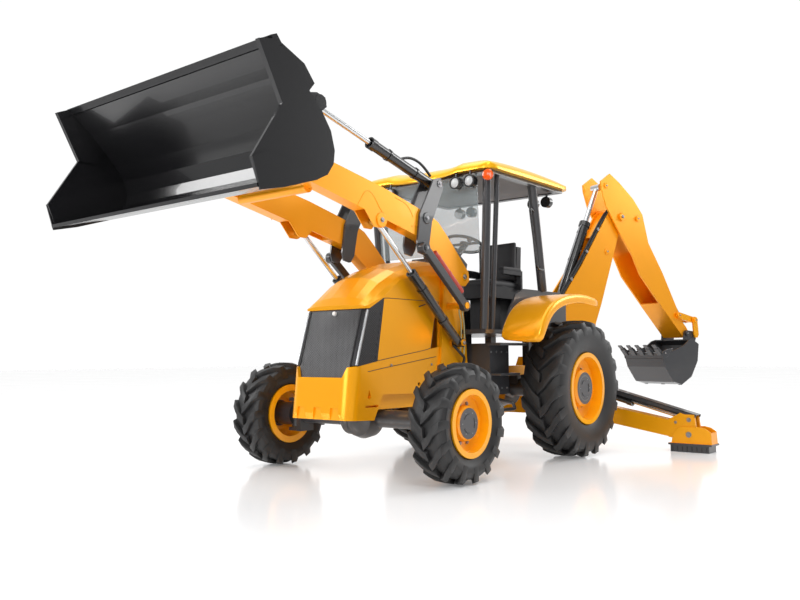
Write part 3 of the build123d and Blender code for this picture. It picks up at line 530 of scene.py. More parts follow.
# turned pieces as one mesh; each set is an origin, an axis and a profile
def turned(name, body, finish, sets, steps=28, closed=False):
    def build(bm):
        for origin, axis, profile in sets:
            addLathe(bm, origin, axis, profile, steps, closed)
    made = finishPiece(name, meshFrom(name, build), body, finish)
    made.modifiers.new("angle", "EDGE_SPLIT").split_angle = sharpAngle


# flat plates as one mesh; each set is an outline, a first face and a thickness
def plates(name, body, finish, sets, view=sideView, bevel=0.003):
    def build(bm):
        for outline, start, across in sets:
            plateMesh(bm, outline, start, across, view)
    finishPiece(name, meshFrom(name, build), body, finish, smooth=False, bevel=bevel)


def bandProfile(radius, width, rise):  # a band round a cylinder's barrel
    inside = radius - 0.003
    return [(0.0, inside), (0.0, radius + rise), (width, radius + rise), (width, inside)]


def pinCap(radius, height):
    return [(0.0, radius), (height * 0.7, radius), (height, radius * 0.9), (height, 0.0)]


tyreLook = {
    "front": {"lugs": 15, "lugWidth": 0.07, "lugDepth": 0.04, "sweep": 0.34},
    "rear": {"lugs": 18, "lugWidth": 0.086, "lugDepth": 0.046, "sweep": 0.33},
}


def makeTyre(corner, axleEnd):
    look = tyreLook[axleEnd]
    node = f"tyre_{axleEnd}_{corner}"
    low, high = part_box(node)
    centre = (low + high) / 2
    radius = (high.z - low.z) / 2
    half = (high.x - low.x) / 2
    rimLow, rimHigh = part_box(f"rim_{axleEnd}_{corner}")
    rim = (rimHigh.z - rimLow.z) / 2
    base = radius - look["lugDepth"]
    wall = (rim + base) / 2
    profile = [(-0.8, rim + 0.004), (-0.83, rim + 0.018), (-0.9, rim + 0.05), (-0.985, wall - 0.01),
               (-1.0, wall + 0.03), (-0.985, base - 0.06), (-0.93, base - 0.022), (-0.8, base - 0.006),
               (-0.45, base), (0.0, base + 0.002)]
    profile = [(a * half, r) for a, r in profile]
    profile += [(-a, r) for a, r in reversed(profile[:-1])]

    def build(bm):
        addLathe(bm, centre, (1, 0, 0), profile, 96, closed=True)
        for side in (-1, 1):
            for k in range(look["lugs"]):
                start = 2 * math.pi * (k + (0.5 if side > 0 else 0.0)) / look["lugs"]
                addLug(bm, centre, half, radius, base, start, side, look)
    mesh = meshFrom(node + "Skin", build)
    made = finishPiece("tyre" + axleEnd.title() + corner.title(), mesh, f"wheel_{axleEnd}_{corner}",
                       "tyre_rubber", bevel=0.004)
    made.modifiers.new("angle", "EDGE_SPLIT").split_angle = math.radians(40)
    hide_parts(node)


def addLug(bm, centre, half, radius, base, start, side, look):
    # from the tread's middle to its shoulder: share of the half width, share of the sweep, the lug's top
    stations = [(0.06, 0.0, radius), (-0.3, 0.3, radius), (-0.62, 0.72, radius - 0.002),
                (-0.92, 1.0, radius - 0.018), (-1.0, 1.08, radius - 0.075)]
    wide = look["lugWidth"] / 2
    rows = []
    for across, lead, top in stations:
        x = across * half * -side
        angle = start + lead * look["sweep"]
        foot = base - (0.1 if across < -0.95 else 0.012)
        row = []
        for spread, height in ((1.25, foot), (1.0, top)):
            for way in (-1, 1):
                a = angle + way * wide * spread / radius
                row.append(Vector((x, math.sin(a) * height, math.cos(a) * height)) + centre)
        rows.append([bm.verts.new(p) for p in (row[0], row[2], row[3], row[1])])
    for a, b in zip(rows, rows[1:]):
        for k in range(3):
            bm.faces.new((a[k], a[k + 1], b[k + 1], b[k]))
    for end in (rows[0], rows[-1]):
        bm.faces.new(end)


for corner in ("left", "right"):
    for axleEnd in ("front", "rear"):
        makeTyre(corner, axleEnd)
print("tyres made")


def markArc(bm, centre, side, radius, start, sweep, width):  # a raised curved mark on the hub cap
    inner, outer = [], []
    for k in range(9):
        a = start + sweep * k / 8
        for row, r in ((inner, radius - width), (outer, radius + width)):
            row.append((centre.y + math.cos(a) * r, centre.z + math.sin(a) * r))
    outline = [(y - rearY, z) for y, z in inner + list(reversed(outer))]
    plateMesh(bm, outline, centre.x, side * 0.004, sideView)


for axleEnd, look in wheelLook.items():
    for corner, side in sides:
        body = f"wheel_{axleEnd}_{corner.lower()}"
        centre = place(look["face"] * side, look["y"], look["z"])
        name = axleEnd + corner
        cap = look["cap"]
        capProfile = [(0.0, cap), (0.03, cap), (0.04, cap - 0.006), (0.04, cap * 0.86),
                      (0.036, cap * 0.84), (0.036, 0.0)]
        out = (side, 0, 0)
        turned("hubCap" + name, body, ("rim_paint", hubGrey), [
            (centre - Vector((side * 0.04, 0, 0)), out, capProfile)], 48)
        marks = meshFrom("hubMarks" + name, lambda bm: [
            markArc(bm, centre, side, look["mark"], math.radians(start), math.radians(62), 0.0035)
            for start in (-30, 90, 210)])
        finishPiece("hubMarks" + name, marks, body, ("rim_paint", blackPaint), smooth=False)
        bolts("wheelNuts" + name, body, [
            (place(look["disc"] * side, look["y"], look["z"]), out, 0.013, look["nuts"], look["circle"]),
            (centre - Vector((side * 0.004, 0, 0)), out, 0.006, 6, cap * 0.72),
        ])
print("wheels made")

loader = {  # pins from the side, then how far out each part stands
    "armPivot": (-1.31, 1.73), "bucketPin": (-3.3, 2.38), "bucketTop": (-3.2, 2.92),
    "crankPin": (-1.9, 2.2), "crankLow": (-1.975, 1.93), "crankTop": (-1.71, 2.53),
    "liftBase": (-1.325, 1.125), "liftEye": (-2.476, 2.115),
    "middle": 0.44, "armOut": 0.5, "towerOut": 0.505, "crankOut": 0.523, "linkOut": 0.587,
    "tiltBarrel": 0.045, "liftBarrel": 0.042,
}
weldLines = [  # round the gusset, then along the arm's edges
    [(-2.77, 2.188), (-2.7, 2.3), (-2.64, 2.345), (-2.56, 2.3), (-2.5, 2.21), (-2.41, 2.125)],
    [(-2.3, 2.325), (-2.18, 2.305), (-2.1, 2.255), (-2.06, 2.19)],
    [(-2.08, 2.11), (-2.0, 2.13), (-1.93, 2.12)],
]
tiltLoop = [(-1.76, 2.6), (-1.86, 2.68), (-2.02, 2.72), (-2.16, 2.69), (-2.24, 2.655)]
tiltLine = [(-1.8, 2.602), (-2.0, 2.655), (-2.45, 2.775), (-2.5, 2.765)]
liftLine = [(-1.448, 1.285), (-1.508, 1.35), (-1.748, 1.56), (-1.888, 1.685)]


def at(point, x):
    return place(x, *loader[point])


def clampRings(base, tip, x, reaches, radius):
    start = at(base, x)
    way = (at(tip, x) - start).normalized()
    return [(start + way * reach, way, bandProfile(radius, 0.022, 0.007)) for reach in reaches]


for corner, side in sides:
    out = (side, 0, 0)
    arm, crank, middle = (loader[key] * side for key in ("armOut", "crankOut", "middle"))
    turned("armBosses" + corner, "lift_arms", ("pin_steel", orangePaint), [
        (at("liftEye", arm - side * 0.004), out, pinCap(0.062, 0.016)),
        (at("bucketPin", arm - side * 0.004), out, pinCap(0.03, 0.006)),
    ])
    bolts("armBolts" + corner, "lift_arms", [
        (at("liftEye", arm + side * 0.01), out, 0.016),
        (place(arm, -3.16, 2.4), out, 0.008),
    ])
    for number, line in enumerate(weldLines):
        bead = onPlane(arm + side * 0.0005, line)
        hose(f"armWeld{number}{corner}", bead, 0.0035, "lift_arms", "orange_paint")
    turned("crankCaps" + corner, "cranks", ("pin_steel", charcoalPaint), [
        (at("crankPin", crank - side * 0.004), out, pinCap(0.05, 0.014)),
    ])
    bolts("crankBolts" + corner, "cranks", [
        (at("crankPin", crank + side * 0.008), out, 0.015),
        (at("crankLow", loader["linkOut"] * side), out, 0.012),
    ])
    bolts("crankTopBolts" + corner, "tilt_ram_carriers", [(at("crankTop", crank + side * 0.006), out, 0.013)])
    loop, pipe = onPlane(middle + side * 0.02, tiltLoop), onPlane(middle - side * 0.02, tiltLine)
    hose("tiltHose" + corner, loop, 0.012, "tilt_ram_carriers", rubberHose)
    hose("tiltPipe" + corner, pipe, 0.006, "tilt_ram_carriers", "pin_steel", straight=True)
    turned("tiltClamps" + corner, "tilt_ram_carriers", "black_paint",
           clampRings("crankTop", "bucketTop", middle, (0.25, 0.62), loader["tiltBarrel"]), closed=True)
    turned("liftClamps" + corner, "lift_barrel_pair", "black_paint",
           clampRings("liftBase", "liftEye", middle, (0.3, 0.7), loader["liftBarrel"]), closed=True)
    pipe = onPlane(middle, liftLine)
    hose("liftPipe" + corner, pipe, 0.006, "lift_barrel_pair", "pin_steel", straight=True)
print("loader dressed")

# a second, thinner plate along the bucket's cutting edge, held by a row of bolts
plates("bucketEdge", "front_bucket", "charcoal_paint", [
    ([(-4.372, 2.008), (-4.25, 2.034), (-4.252, 2.044), (-4.376, 2.02)], -1.15, 2.3),
], bevel=0.0)
bolts("bucketEdgeBolts", "front_bucket", [
    (place(-1.08, -4.31, 2.034), (0, -0.2, 1), 0.012, 13, (0.18, 0, 0))])
print("bucket dressed")

nose = {
    "lip": -2.487, "lipHeight": 1.396, "lean": 0.302,  # the grille's top edge, and its lean back per height
    "panel": 0.348, "seam": 0.3495, "skirt": 0.35, "catch": 1.362, "moulding": 0.341, "meshEdge": 0.291,
}
grilleHeights = (1.388, 1.17, 0.95, 0.934)
latchOutline = [(-1.8, 1.435), (-1.7, 1.462), (-1.7, 1.472), (-1.8, 1.447)]
skirtPlaces = ((-1.62, 0.93), (-2.18, 0.93), (-1.62, 0.74))
seamLines = [  # between the skirt and the panels, then the hood's shut lines
    [(-2.36, 0.968), (-1.63, 1.07), (-1.57, 1.33), (-1.505, 1.496)],
    [(-2.448, 1.402), (-2.27, 1.497), (-1.505, 1.497)],
    [(-2.6, 0.927), (-2.36, 0.967), (-2.35, 1.04), (-2.271, 1.495)],
    [(-2.48, 0.88), (-2.3, 0.905), (-1.55, 1.0)],
]
towerPipes = [
    [(0.405, -1.3, 1.66), (0.42, -1.255, 1.55), (0.415, -1.285, 1.42), (0.415, -1.23, 1.3),
     (0.4, -1.24, 1.05)],
    [(0.422, -1.3, 1.6), (0.426, -1.222, 1.52), (0.426, -1.25, 1.4), (0.426, -1.2, 1.28),
     (0.42, -1.21, 1.02)],
]
towerHose = [(0.41, -1.36, 1.1), (0.455, -1.3, 1.02), (0.43, -1.2, 0.98), (0.395, -1.22, 0.9)]


def grilleFace(z):
    return nose["lip"] - (nose["lipHeight"] - z) * nose["lean"]


turned("hoodCatch", "chassis", ("black_plastic", whiteKnob), [
    (place(0.0, grilleFace(nose["catch"]) + 0.002, nose["catch"]), (0, -1, 0.3),
     [(0.0, 0.0), (0.0, 0.018), (0.022, 0.018), (0.028, 0.012), (0.028, 0.0)]),
])
for corner, side in sides:
    out = (side, 0, 0)
    # bright moulding between the front mesh and the side vent
    moulding = [(nose["moulding"], grilleFace(z) + 0.02, z) for z in grilleHeights]
    hose("grilleMoulding" + corner, mirrored(moulding, side), 0.012, "chassis", ("black_plastic", silver))
    edge = [(nose["meshEdge"], grilleFace(z) - 0.001, z) for z in grilleHeights]
    hose("grilleEdge" + corner, mirrored(edge, side), 0.008, "chassis", "black_plastic")
    plates("sideLatch" + corner, "chassis", "black_plastic", [
        (latchOutline, side * nose["panel"], side * 0.006)])
    bolts("skirtBolts" + corner, "chassis", [
        (place(side * nose["skirt"], y, z), out, 0.009) for y, z in skirtPlaces])
    for number, line in enumerate(seamLines):
        seam = onPlane(side * nose["seam"], line)
        hose(f"seam{number}{corner}", seam, 0.003, "chassis", "black_plastic", straight=True)
    for number, line in enumerate(towerPipes):
        hose(f"towerPipe{number}{corner}", mirrored(line, side), 0.008, "chassis", ("pin_steel", brassLine))
    hose("towerHose" + corner, mirrored(towerHose, side), 0.013, "chassis", rubberHose)
    bolts("towerBolts" + corner, "chassis", [
        (at("armPivot", side * loader["towerOut"]), out, 0.018),
        (at("liftBase", side * loader["towerOut"]), out, 0.015),
    ])
print("body dressed")

canopy = {
    "lamps": (-0.56, -0.4, 0.4, 0.56), "lampFront": -1.305, "lampRear": 0.17, "lampHeight": 2.62,
    "lens": [(0.0, 0.0), (0.0, 0.046), (0.004, 0.042), (0.009, 0.026), (0.011, 0.0)],
    "bezel": [(0.0, 0.058), (0.006, 0.06), (0.012, 0.056), (0.012, 0.047), (0.002, 0.044), (0.0, 0.044)],
    "indicator": [(0.0, 0.0), (0.0, 0.05), (0.02, 0.052), (0.034, 0.044), (0.04, 0.02), (0.04, 0.0)],
}
handleLine = [(0.69, -0.345, 2.44), (0.7, -0.44, 2.47), (0.705, -0.455, 2.43), (0.69, -0.31, 1.93),
              (0.685, -0.285, 1.86), (0.68, -0.165, 1.87)]
stepLine = [(0.3, -0.98, 0.6), (0.64, -0.98, 0.56), (0.66, -0.98, 0.5), (0.66, -0.72, 0.5),
            (0.64, -0.72, 0.56), (0.3, -0.72, 0.6)]
lenses, rims = [], []
for x in canopy["lamps"]:
    lenses.append((place(x, canopy["lampFront"] + 0.001, canopy["lampHeight"]), (0, -1, 0), canopy["lens"]))
    rims.append((place(x, canopy["lampFront"] + 0.005, canopy["lampHeight"]), (0, -1, 0), canopy["bezel"]))
    lenses.append((place(x, canopy["lampRear"] - 0.001, canopy["lampHeight"]), (0, 1, 0), canopy["lens"]))
turned("lampLenses", "chassis", ("lamp_glass", lampLens), lenses)
turned("lampBezels", "chassis", "lamp_glass", rims)
for name, side in (("indicator", 1), ("indicatorRight", -1)):
    turned(name, "chassis", ("lamp_glass", amberLens), [
        (place(side * 0.748, -1.262, 2.655), (side * 0.2, -1, 0), canopy["indicator"]),
    ])
plates("headliner", "chassis", ("charcoal_paint", liner), [
    ([(-1.225, 2.7), (0.14, 2.7), (0.14, 2.712), (-1.225, 2.712)], -0.735, 1.47),
])
for corner, side in sides:
    hose("grabHandle" + corner, mirrored(handleLine, side), 0.012, "chassis", ("black_plastic", blackPaint))
    hose("stepBar" + corner, mirrored(stepLine, side), 0.016, "chassis", ("black_plastic", charcoalPaint),
         straight=True)
    plates("footSteps" + corner, "chassis", "charcoal_paint", [
        ([(-1.09, 1.1), (-0.62, 1.1), (-0.62, 1.125), (-1.09, 1.125)], side * 0.59, side * 0.155),
        ([(-1.04, 0.82), (-0.7, 0.82), (-0.7, 0.84), (-1.04, 0.84)], side * 0.595, side * 0.12),
    ])
    bolts("tankBolts" + corner, "chassis", [
        (place(side * 0.6, -1.03, z), (side, 0, 0), 0.008, 4, (0, 0.09, 0)) for z in (1.04, 0.7)])
# the roof: a moulded shell with rolled edges and a step behind the front lamps' brow
roof = {"low": 2.722, "edge": 0.1, "crown": 2.88, "front": -1.3, "rear": 0.23, "half": 0.8,
        "corner": 0.14}


def roofSkin(bm):
    columns, rows = 34, 40
    tuck = roof["corner"]
    rise = roof["crown"] - roof["low"] - roof["edge"]
    middleY, halfY = (roof["front"] + roof["rear"]) / 2, (roof["rear"] - roof["front"]) / 2
    grid = []
    for r in range(rows + 1):
        line = []
        for c in range(columns + 1):
            u, v = -math.cos(math.pi * c / columns), -math.cos(math.pi * r / rows)
            x, y = u * roof["half"], v * halfY
            overX, overY = max(abs(x) - (roof["half"] - tuck), 0), max(abs(y) - (halfY - tuck), 0)
            far = math.hypot(overX, overY)
            if far > tuck:  # the corners are round in plan
                x -= math.copysign(overX * (1 - tuck / far), x)
                y -= math.copysign(overY * (1 - tuck / far), y)
            edgeX = (1 - min(abs(u), 1) ** 5) ** 0.45
            edgeY = (1 - min(abs(v), 1) ** 6) ** 0.45
            swell = 1 - 0.75 * abs(v + 0.05) ** 2.2 - 0.16 * u * u
            height = roof["low"] + roof["edge"] * min(edgeX, edgeY) + rise * max(swell, 0) * edgeX * edgeY
            brow = max(0.0, 1 - abs(u) / 0.5) ** 0.5
            height -= 0.03 * min(1.0, brow * 1.6) * max(0.0, min(1.0, (-v - 0.35) * 2.4))
            line.append(bm.verts.new(place(x, middleY + y, height)))
        grid.append(line)
    for a, b in zip(grid, grid[1:]):
        for c in range(columns):
            bm.faces.new((a[c], a[c + 1], b[c + 1], b[c]))
    edge = grid[0] + [row[-1] for row in grid[1:]] + list(reversed(grid[-1][:-1]))
    edge += [row[0] for row in reversed(grid[1:-1])]
    foot = [bm.verts.new(v.co - Vector((0, 0, 0.001))) for v in edge]
    for k in range(len(edge)):
        n = (k + 1) % len(edge)
        if (edge[k].co - edge[n].co).length > 1e-6:
            bm.faces.new((edge[k], edge[n], foot[n], foot[k]))
    bm.faces.new(foot)


roofShell = finishPiece("roofShell", meshFrom("roofShell", roofSkin), "chassis", ("yellow_paint", roofHighlightPaint))
roofShell.modifiers.new("angle", "EDGE_SPLIT").split_angle = math.radians(60)
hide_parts("canopy_roof")

# the rear fenders: a rolled arch over each wheel, with a folded lip along the outer edge
arch = [(-1.03, 1.13), (-0.985, 1.23), (-0.925, 1.325), (-0.85, 1.41), (-0.76, 1.478), (-0.65, 1.53),
        (-0.52, 1.566), (-0.38, 1.59), (-0.22, 1.604), (-0.06, 1.602), (0.1, 1.584), (0.25, 1.552)]
section = [(0.692, 0.0), (0.7, 0.004), (1.07, 0.004), (1.092, -0.002), (1.105, -0.016), (1.11, -0.034),
           (1.11, -0.085), (1.104, -0.088), (1.1, -0.082), (1.096, -0.03), (1.085, -0.016),
           (1.066, -0.012), (0.7, -0.012), (0.692, -0.01)]


def fenderSkin(bm, side):
    rings = []
    for k, (y, z) in enumerate(arch):
        before, after = arch[max(k - 1, 0)], arch[min(k + 1, len(arch) - 1)]
        way = Vector((after[0] - before[0], after[1] - before[1])).normalized()
        out = Vector((-way.y, way.x))
        ring = []
        for x, d in section:
            share = 0.7 if k in (0, len(arch) - 1) and d < -0.02 else 1  # the lip is shallower at both ends
            ring.append(bm.verts.new(place(side * x, y + out.x * d * share, z + out.y * d * share)))
        rings.append(ring)
    for a, b in zip(rings, rings[1:]):
        for k in range(len(section)):
            n = (k + 1) % len(section)
            bm.faces.new((a[k], a[n], b[n], b[k]))
    bm.faces.new(rings[0])
    bm.faces.new(list(reversed(rings[-1])))


def bothFenders(bm):
    for corner, side in sides:
        fenderSkin(bm, side)


fenderMesh = meshFrom("fenderArches", bothFenders)
fenders = finishPiece("fenderArches", fenderMesh, "chassis", "yellow_paint")
fenders.modifiers.new("smooth", "SUBSURF").render_levels = 1
fenders.modifiers["smooth"].levels = 1
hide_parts("rear_fenders")
gripProfile = [(0.0, 0.0), (0.0, 0.01), (0.03, 0.01), (0.036, 0.022), (0.05, 0.028), (0.066, 0.022),
               (0.072, 0.0)]
turned("wheelGrip", "chassis", ("black_plastic", vinyl), [
    (place(0.15, -0.69, 2.12), (0, -0.35, 1), gripProfile)])
gaiterProfile = [(0.0, 0.0), (0.0, 0.06), (0.018, 0.05), (0.03, 0.054), (0.048, 0.036), (0.06, 0.04),
                 (0.085, 0.022), (0.11, 0.016), (0.11, 0.0)]
turned("leverGaiters", "chassis", rubberHose, [
    (place(x, 0.24, 1.698), (0, -0.2, 1), gaiterProfile) for x in (-0.11, 0.11)])
print("canopy dressed")


hoe = {  # pins from the boom's side
    "boomFoot": (0.28, 0.66), "boomRam": (0.05, 1.15), "boomEye": (0.74, 2.29),
    "dipperPivot": (0.97, 2.74), "dipperTail": (0.71, 3.11), "dipperRam": (0.03, 1.62),
    "bucketRam": (1.26, 2.74), "leverPin": (1.98, 1.52), "leverEye": (2.27, 1.46),
    "bucketPin": (2.13, 1.285),
}
hoeAcross = hoeView(0.0, 0.0, 1.0) - hoeView(0.0, 0.0, 0.0)


# each row is a pin, the half width where its bosses sit and their radius; a bolt stands in each boss
def hoeBosses(name, body, rows, material):
    caps, heads = [], []
    for pin, half, radius in rows:
        for side in (1, -1):
            spot = hoeView(*hoe[pin], side * half)
            caps.append((spot, hoeAcross * side, pinCap(radius, 0.014)))
            heads.append((spot + hoeAcross * side * 0.01, hoeAcross * side, radius * 0.34))
    turned(name + "Bosses", body, ("pin_steel", material), caps)
    bolts(name + "Bolts", body, heads)


hoeBosses("boom", "hoe_boom", [
    ("dipperRam", 0.124, 0.04), ("boomEye", 0.124, 0.036), ("boomFoot", 0.124, 0.06)], orangePaint)
hoeBosses("dipper", "hoe_dipper", [
    ("dipperPivot", 0.176, 0.05), ("dipperTail", 0.162, 0.034), ("bucketRam", 0.172, 0.036),
    ("leverPin", 0.196, 0.034)], orangePaint)
hoeBosses("lever", "levers", [("leverEye", 0.225, 0.032)], yellowPaint)
hoeBosses("hoeBucket", "hoe_bucket_body", [("bucketPin", 0.195, 0.036)], charcoalPaint)


# a point beside a ram: how far along it, how far off its axis and how far across
def besideRam(base, tip, reach, off=0.0, across=0.0):
    start, end = Vector(hoe[base]), Vector(hoe[tip])
    way = (end - start).normalized()
    spot = start + way * reach + Vector((-way.y, way.x)) * off
    return hoeView(spot.x, spot.y, across)


boomLine = [(-0.04, 1.18), (-0.06, 1.4), (-0.075, 1.63), (-0.01, 1.735), (0.278, 2.092),
            (0.52, 2.44), (0.7, 2.7), (0.8, 2.8)]
boomHoses = ((0.088, 0.011, 0.0), (0.112, 0.011, 0.0), (0.1, 0.009, 0.02))  # across, radius, lift
for number, (across, radius, lift) in enumerate(boomHoses):
    points = [hoeView(s - lift, z + lift, across) for s, z in boomLine]
    hose(f"boomHose{number}", points, radius, "hoe_boom", rubberHose)
clampPlates = []
for s, z, lean in ((-0.07, 1.56, 0.15), (0.135, 1.915, 0.9), (0.4, 2.268, 0.97), (0.6, 2.556, 0.97)):
    way = Vector((math.cos(lean), math.sin(lean)))
    off = Vector((-way.y, way.x))
    square = ((-0.016, -0.016), (0.016, -0.016), (0.016, 0.022), (-0.016, 0.022))
    clampPlates.append(([tuple(Vector((s, z)) + way * a + off * b) for a, b in square], 0.074, 0.052))
plates("hoseClamps", "hoe_boom", ("black_paint", steel), clampPlates, hoeView)
hoeRams = [  # name and base pin, tip pin, barrel's length and radius, body
    ("boomRam", "boomEye", 1.1, 0.058, "boom_barrel_body"),
    ("dipperRam", "dipperTail", 1.13, 0.06, "dipper_barrel_body"),
    ("bucketRam", "leverEye", 0.96, 0.052, "bucket_barrel_body"),
]
for name, tip, length, radius, ram in hoeRams:
    off = radius + 0.016
    route = [(0.1, off * 0.7), (0.16, off), (length - 0.12, off), (length - 0.05, off * 0.75)]
    points = [besideRam(name, tip, reach, o, 0.018) for reach, o in route]
    hose(name + "Pipe", points, 0.007, ram, "pin_steel", straight=True)
    bands = []
    for reach in (0.22, length * 0.52, length - 0.16):
        start = besideRam(name, tip, reach)
        way = besideRam(name, tip, reach + 0.1) - start
        bands.append((start, way, bandProfile(radius, 0.02, 0.005)))
    bands.append((besideRam(name, tip, length - 0.062), way, bandProfile(radius * 1.12, 0.05, 0.004)))
    turned(name + "Bands", ram, "black_paint", bands, closed=True)
# feed hoses from the frame up past the kingpost
feedLine = [(-0.09, 0.93), (-0.13, 1.02), (-0.12, 1.18), (-0.06, 1.34), (-0.045, 1.5)]
for number, across in enumerate((-0.055, -0.02, 0.02, 0.055)):
    points = [hoeView(s - 0.01 * number, z, across) for s, z in feedLine]
    hose(f"feedHose{number}", points, 0.013, "swing_post", rubberHose)
# the digging bucket's tooth holders, side cutters, and wear strips across and along the heel
toothHolder = [(1.51, 0.992), (1.478, 1.06), (1.418, 1.102), (1.408, 1.072), (1.48, 0.996)]
sideCutter = [(1.478, 1.034), (1.5, 0.955), (1.59, 0.975), (1.64, 1.05), (1.7, 1.056), (1.69, 1.085),
              (1.56, 1.07)]
crossStrips = [
    [(1.676, 0.676), (1.7, 0.65), (1.712, 0.662), (1.688, 0.688)],
    [(1.59, 0.788), (1.612, 0.762), (1.622, 0.772), (1.602, 0.798)],
    [(1.5, 0.955), (1.512, 0.92), (1.524, 0.924), (1.512, 0.96)],
]
longStrip = [(1.84, 0.628), (1.862, 0.612), (2.052, 0.71), (2.044, 0.728)]
wear = [(toothHolder, w - 0.034, 0.068) for w in (-0.276, -0.138, 0.0, 0.138, 0.276)]
wear += [(sideCutter, w, 0.01) for w in (0.309, -0.319)]
wear += [(strip, -0.306, 0.612) for strip in crossStrips]
wear += [(longStrip, w, 0.05) for w in (-0.3, -0.025, 0.25)]
plates("hoeBucketWear", "hoe_bucket_body", "charcoal_paint", wear, hoeView)
bolts("sideCutterBolts", "hoe_bucket_body", [
    (hoeView(1.545, 1.025, side * 0.319), hoeAcross * side, 0.009) for side in (1, -1)])
print("backhoe dressed")

leg = {
    "y": 1.08, "half": 0.075, "pad": (1.482, 1.929), "padHalf": 0.1145, "footPin": (1.69, 0.18),
    "rodPin": (1.69, 0.33), "stopPin": (1.55, 0.3), "ramBase": (0.33, 0.7), "guardHalf": 0.07,
    "treads": (1.52, 1.57, 1.62, 1.67, 1.72, 1.77, 1.82, 1.87),
}
footEar = [(1.505, 0.088), (1.518, 0.16), (1.555, 0.228), (1.605, 0.258), (1.8, 0.262), (1.862, 0.248),
           (1.915, 0.212), (1.925, 0.088)]
footEnd = [(1.912, 0.088), (1.924, 0.088), (1.916, 0.205), (1.904, 0.205)]


def onLeg(outline, side):
    return [(side * x, z) for x, z in outline]


def levelPlate(low, high, bottom, top):
    return [(low, bottom), (high, bottom), (high, top), (low, top)]


def legPin(pin, side, way, beyond, size):
    x, z = leg[pin]
    return place(side * x, leg["y"] + way * (leg["half"] + beyond), z), (0, way, 0), size


# a channel over the rod keeps stones off it and slides back over the barrel
eye, base = Vector(leg["rodPin"]), Vector(leg["ramBase"])
back = (base - eye).normalized()
up = Vector((back.y, -back.x))


def guardOutline(lowStart, lowEnd):
    return [tuple(eye + back * reach + up * off) for reach, off in (
        (-0.06, lowStart), (0.88, lowEnd), (0.88, 0.072), (-0.06, 0.072))]


for name, side in sides:
    foot = "foot_" + name.lower()
    inner = leg["y"] - leg["half"]
    outer = leg["y"] + leg["half"]
    ear = onLeg(footEar, side)
    plates("footEars" + name, foot, ("charcoal_paint", yellowPaint), [
        (ear, inner - 0.016, 0.012), (ear, outer + 0.004, 0.012)], frontView)
    plates("footEnd" + name, foot, ("charcoal_paint", orangePaint), [
        (onLeg(footEnd, side), leg["y"] - 0.08, 0.16)], frontView)
    plates("footFlange" + name, foot, ("charcoal_paint", yellowPaint), [
        (onLeg(levelPlate(*leg["pad"], 0.072, 0.091), side), leg["y"] - leg["padHalf"], 0.229)], frontView)
    treads = [(onLeg(levelPlate(x, x + 0.012, 0.012, 0.06), side), leg["y"] - 0.108, 0.216)
              for x in leg["treads"]]
    plates("footRubber" + name, foot, ("charcoal_paint", hoseRubber), treads, frontView)
    bolts("footPins" + name, foot, [legPin("footPin", side, way, 0.014, 0.022) for way in (1, -1)])
    bolts("legPins" + name, "leg_" + name.lower(), [
        legPin(pin, side, way, 0.0, size)
        for way in (1, -1) for pin, size in (("rodPin", 0.017), ("stopPin", 0.011))])
    flank = onLeg(guardOutline(0.04, 0.022), side)
    near = leg["y"] - leg["guardHalf"]
    plates("ramGuard" + name, "leg_rod_" + name.lower(), "charcoal_paint", [
        (onLeg(guardOutline(0.066, 0.066), side), near, 0.14), (flank, near, 0.004),
        (flank, leg["y"] + 0.066, 0.004)], frontView, bevel=0.0)
print("stabilisers dressed")

differential = {
    "front": [(0.0, 0.0), (0.0, 0.09), (0.04, 0.15), (0.11, 0.175), (0.2, 0.165), (0.29, 0.105),
              (0.36, 0.07), (0.4, 0.06), (0.4, 0.0)],
    "rear": [(0.0, 0.0), (0.0, 0.075), (0.08, 0.11), (0.14, 0.2), (0.33, 0.225), (0.5, 0.19),
             (0.54, 0.12), (0.54, 0.0)],
}
turned("differentials", "chassis", "charcoal_paint", [
    (place(0.06, -2.33, wheelLook["front"]["z"]), (0, 1, 0), differential["front"]),
    (place(0.0, -0.33, wheelLook["rear"]["z"]), (0, 1, 0), differential["rear"]),
], 36)
shaftStart, shaftEnd = place(0.06, -1.93, wheelLook["front"]["z"]), place(0.0, -0.33, 0.64)
shaftProfile = [(0.0, 0.0), (0.0, 0.052), (0.045, 0.052), (0.06, 0.034), (1.54, 0.034), (1.556, 0.052),
                (1.6, 0.052), (1.6, 0.0)]
turned("propShaft", "chassis", "charcoal_paint", [
    (shaftStart, shaftEnd - shaftStart, shaftProfile)])
print("running gear made")

seat = {"fill": 0.6, "seam": 0.62, "seamWidth": 0.035, "seamDepth": 0.1, "tuck": 0.035}


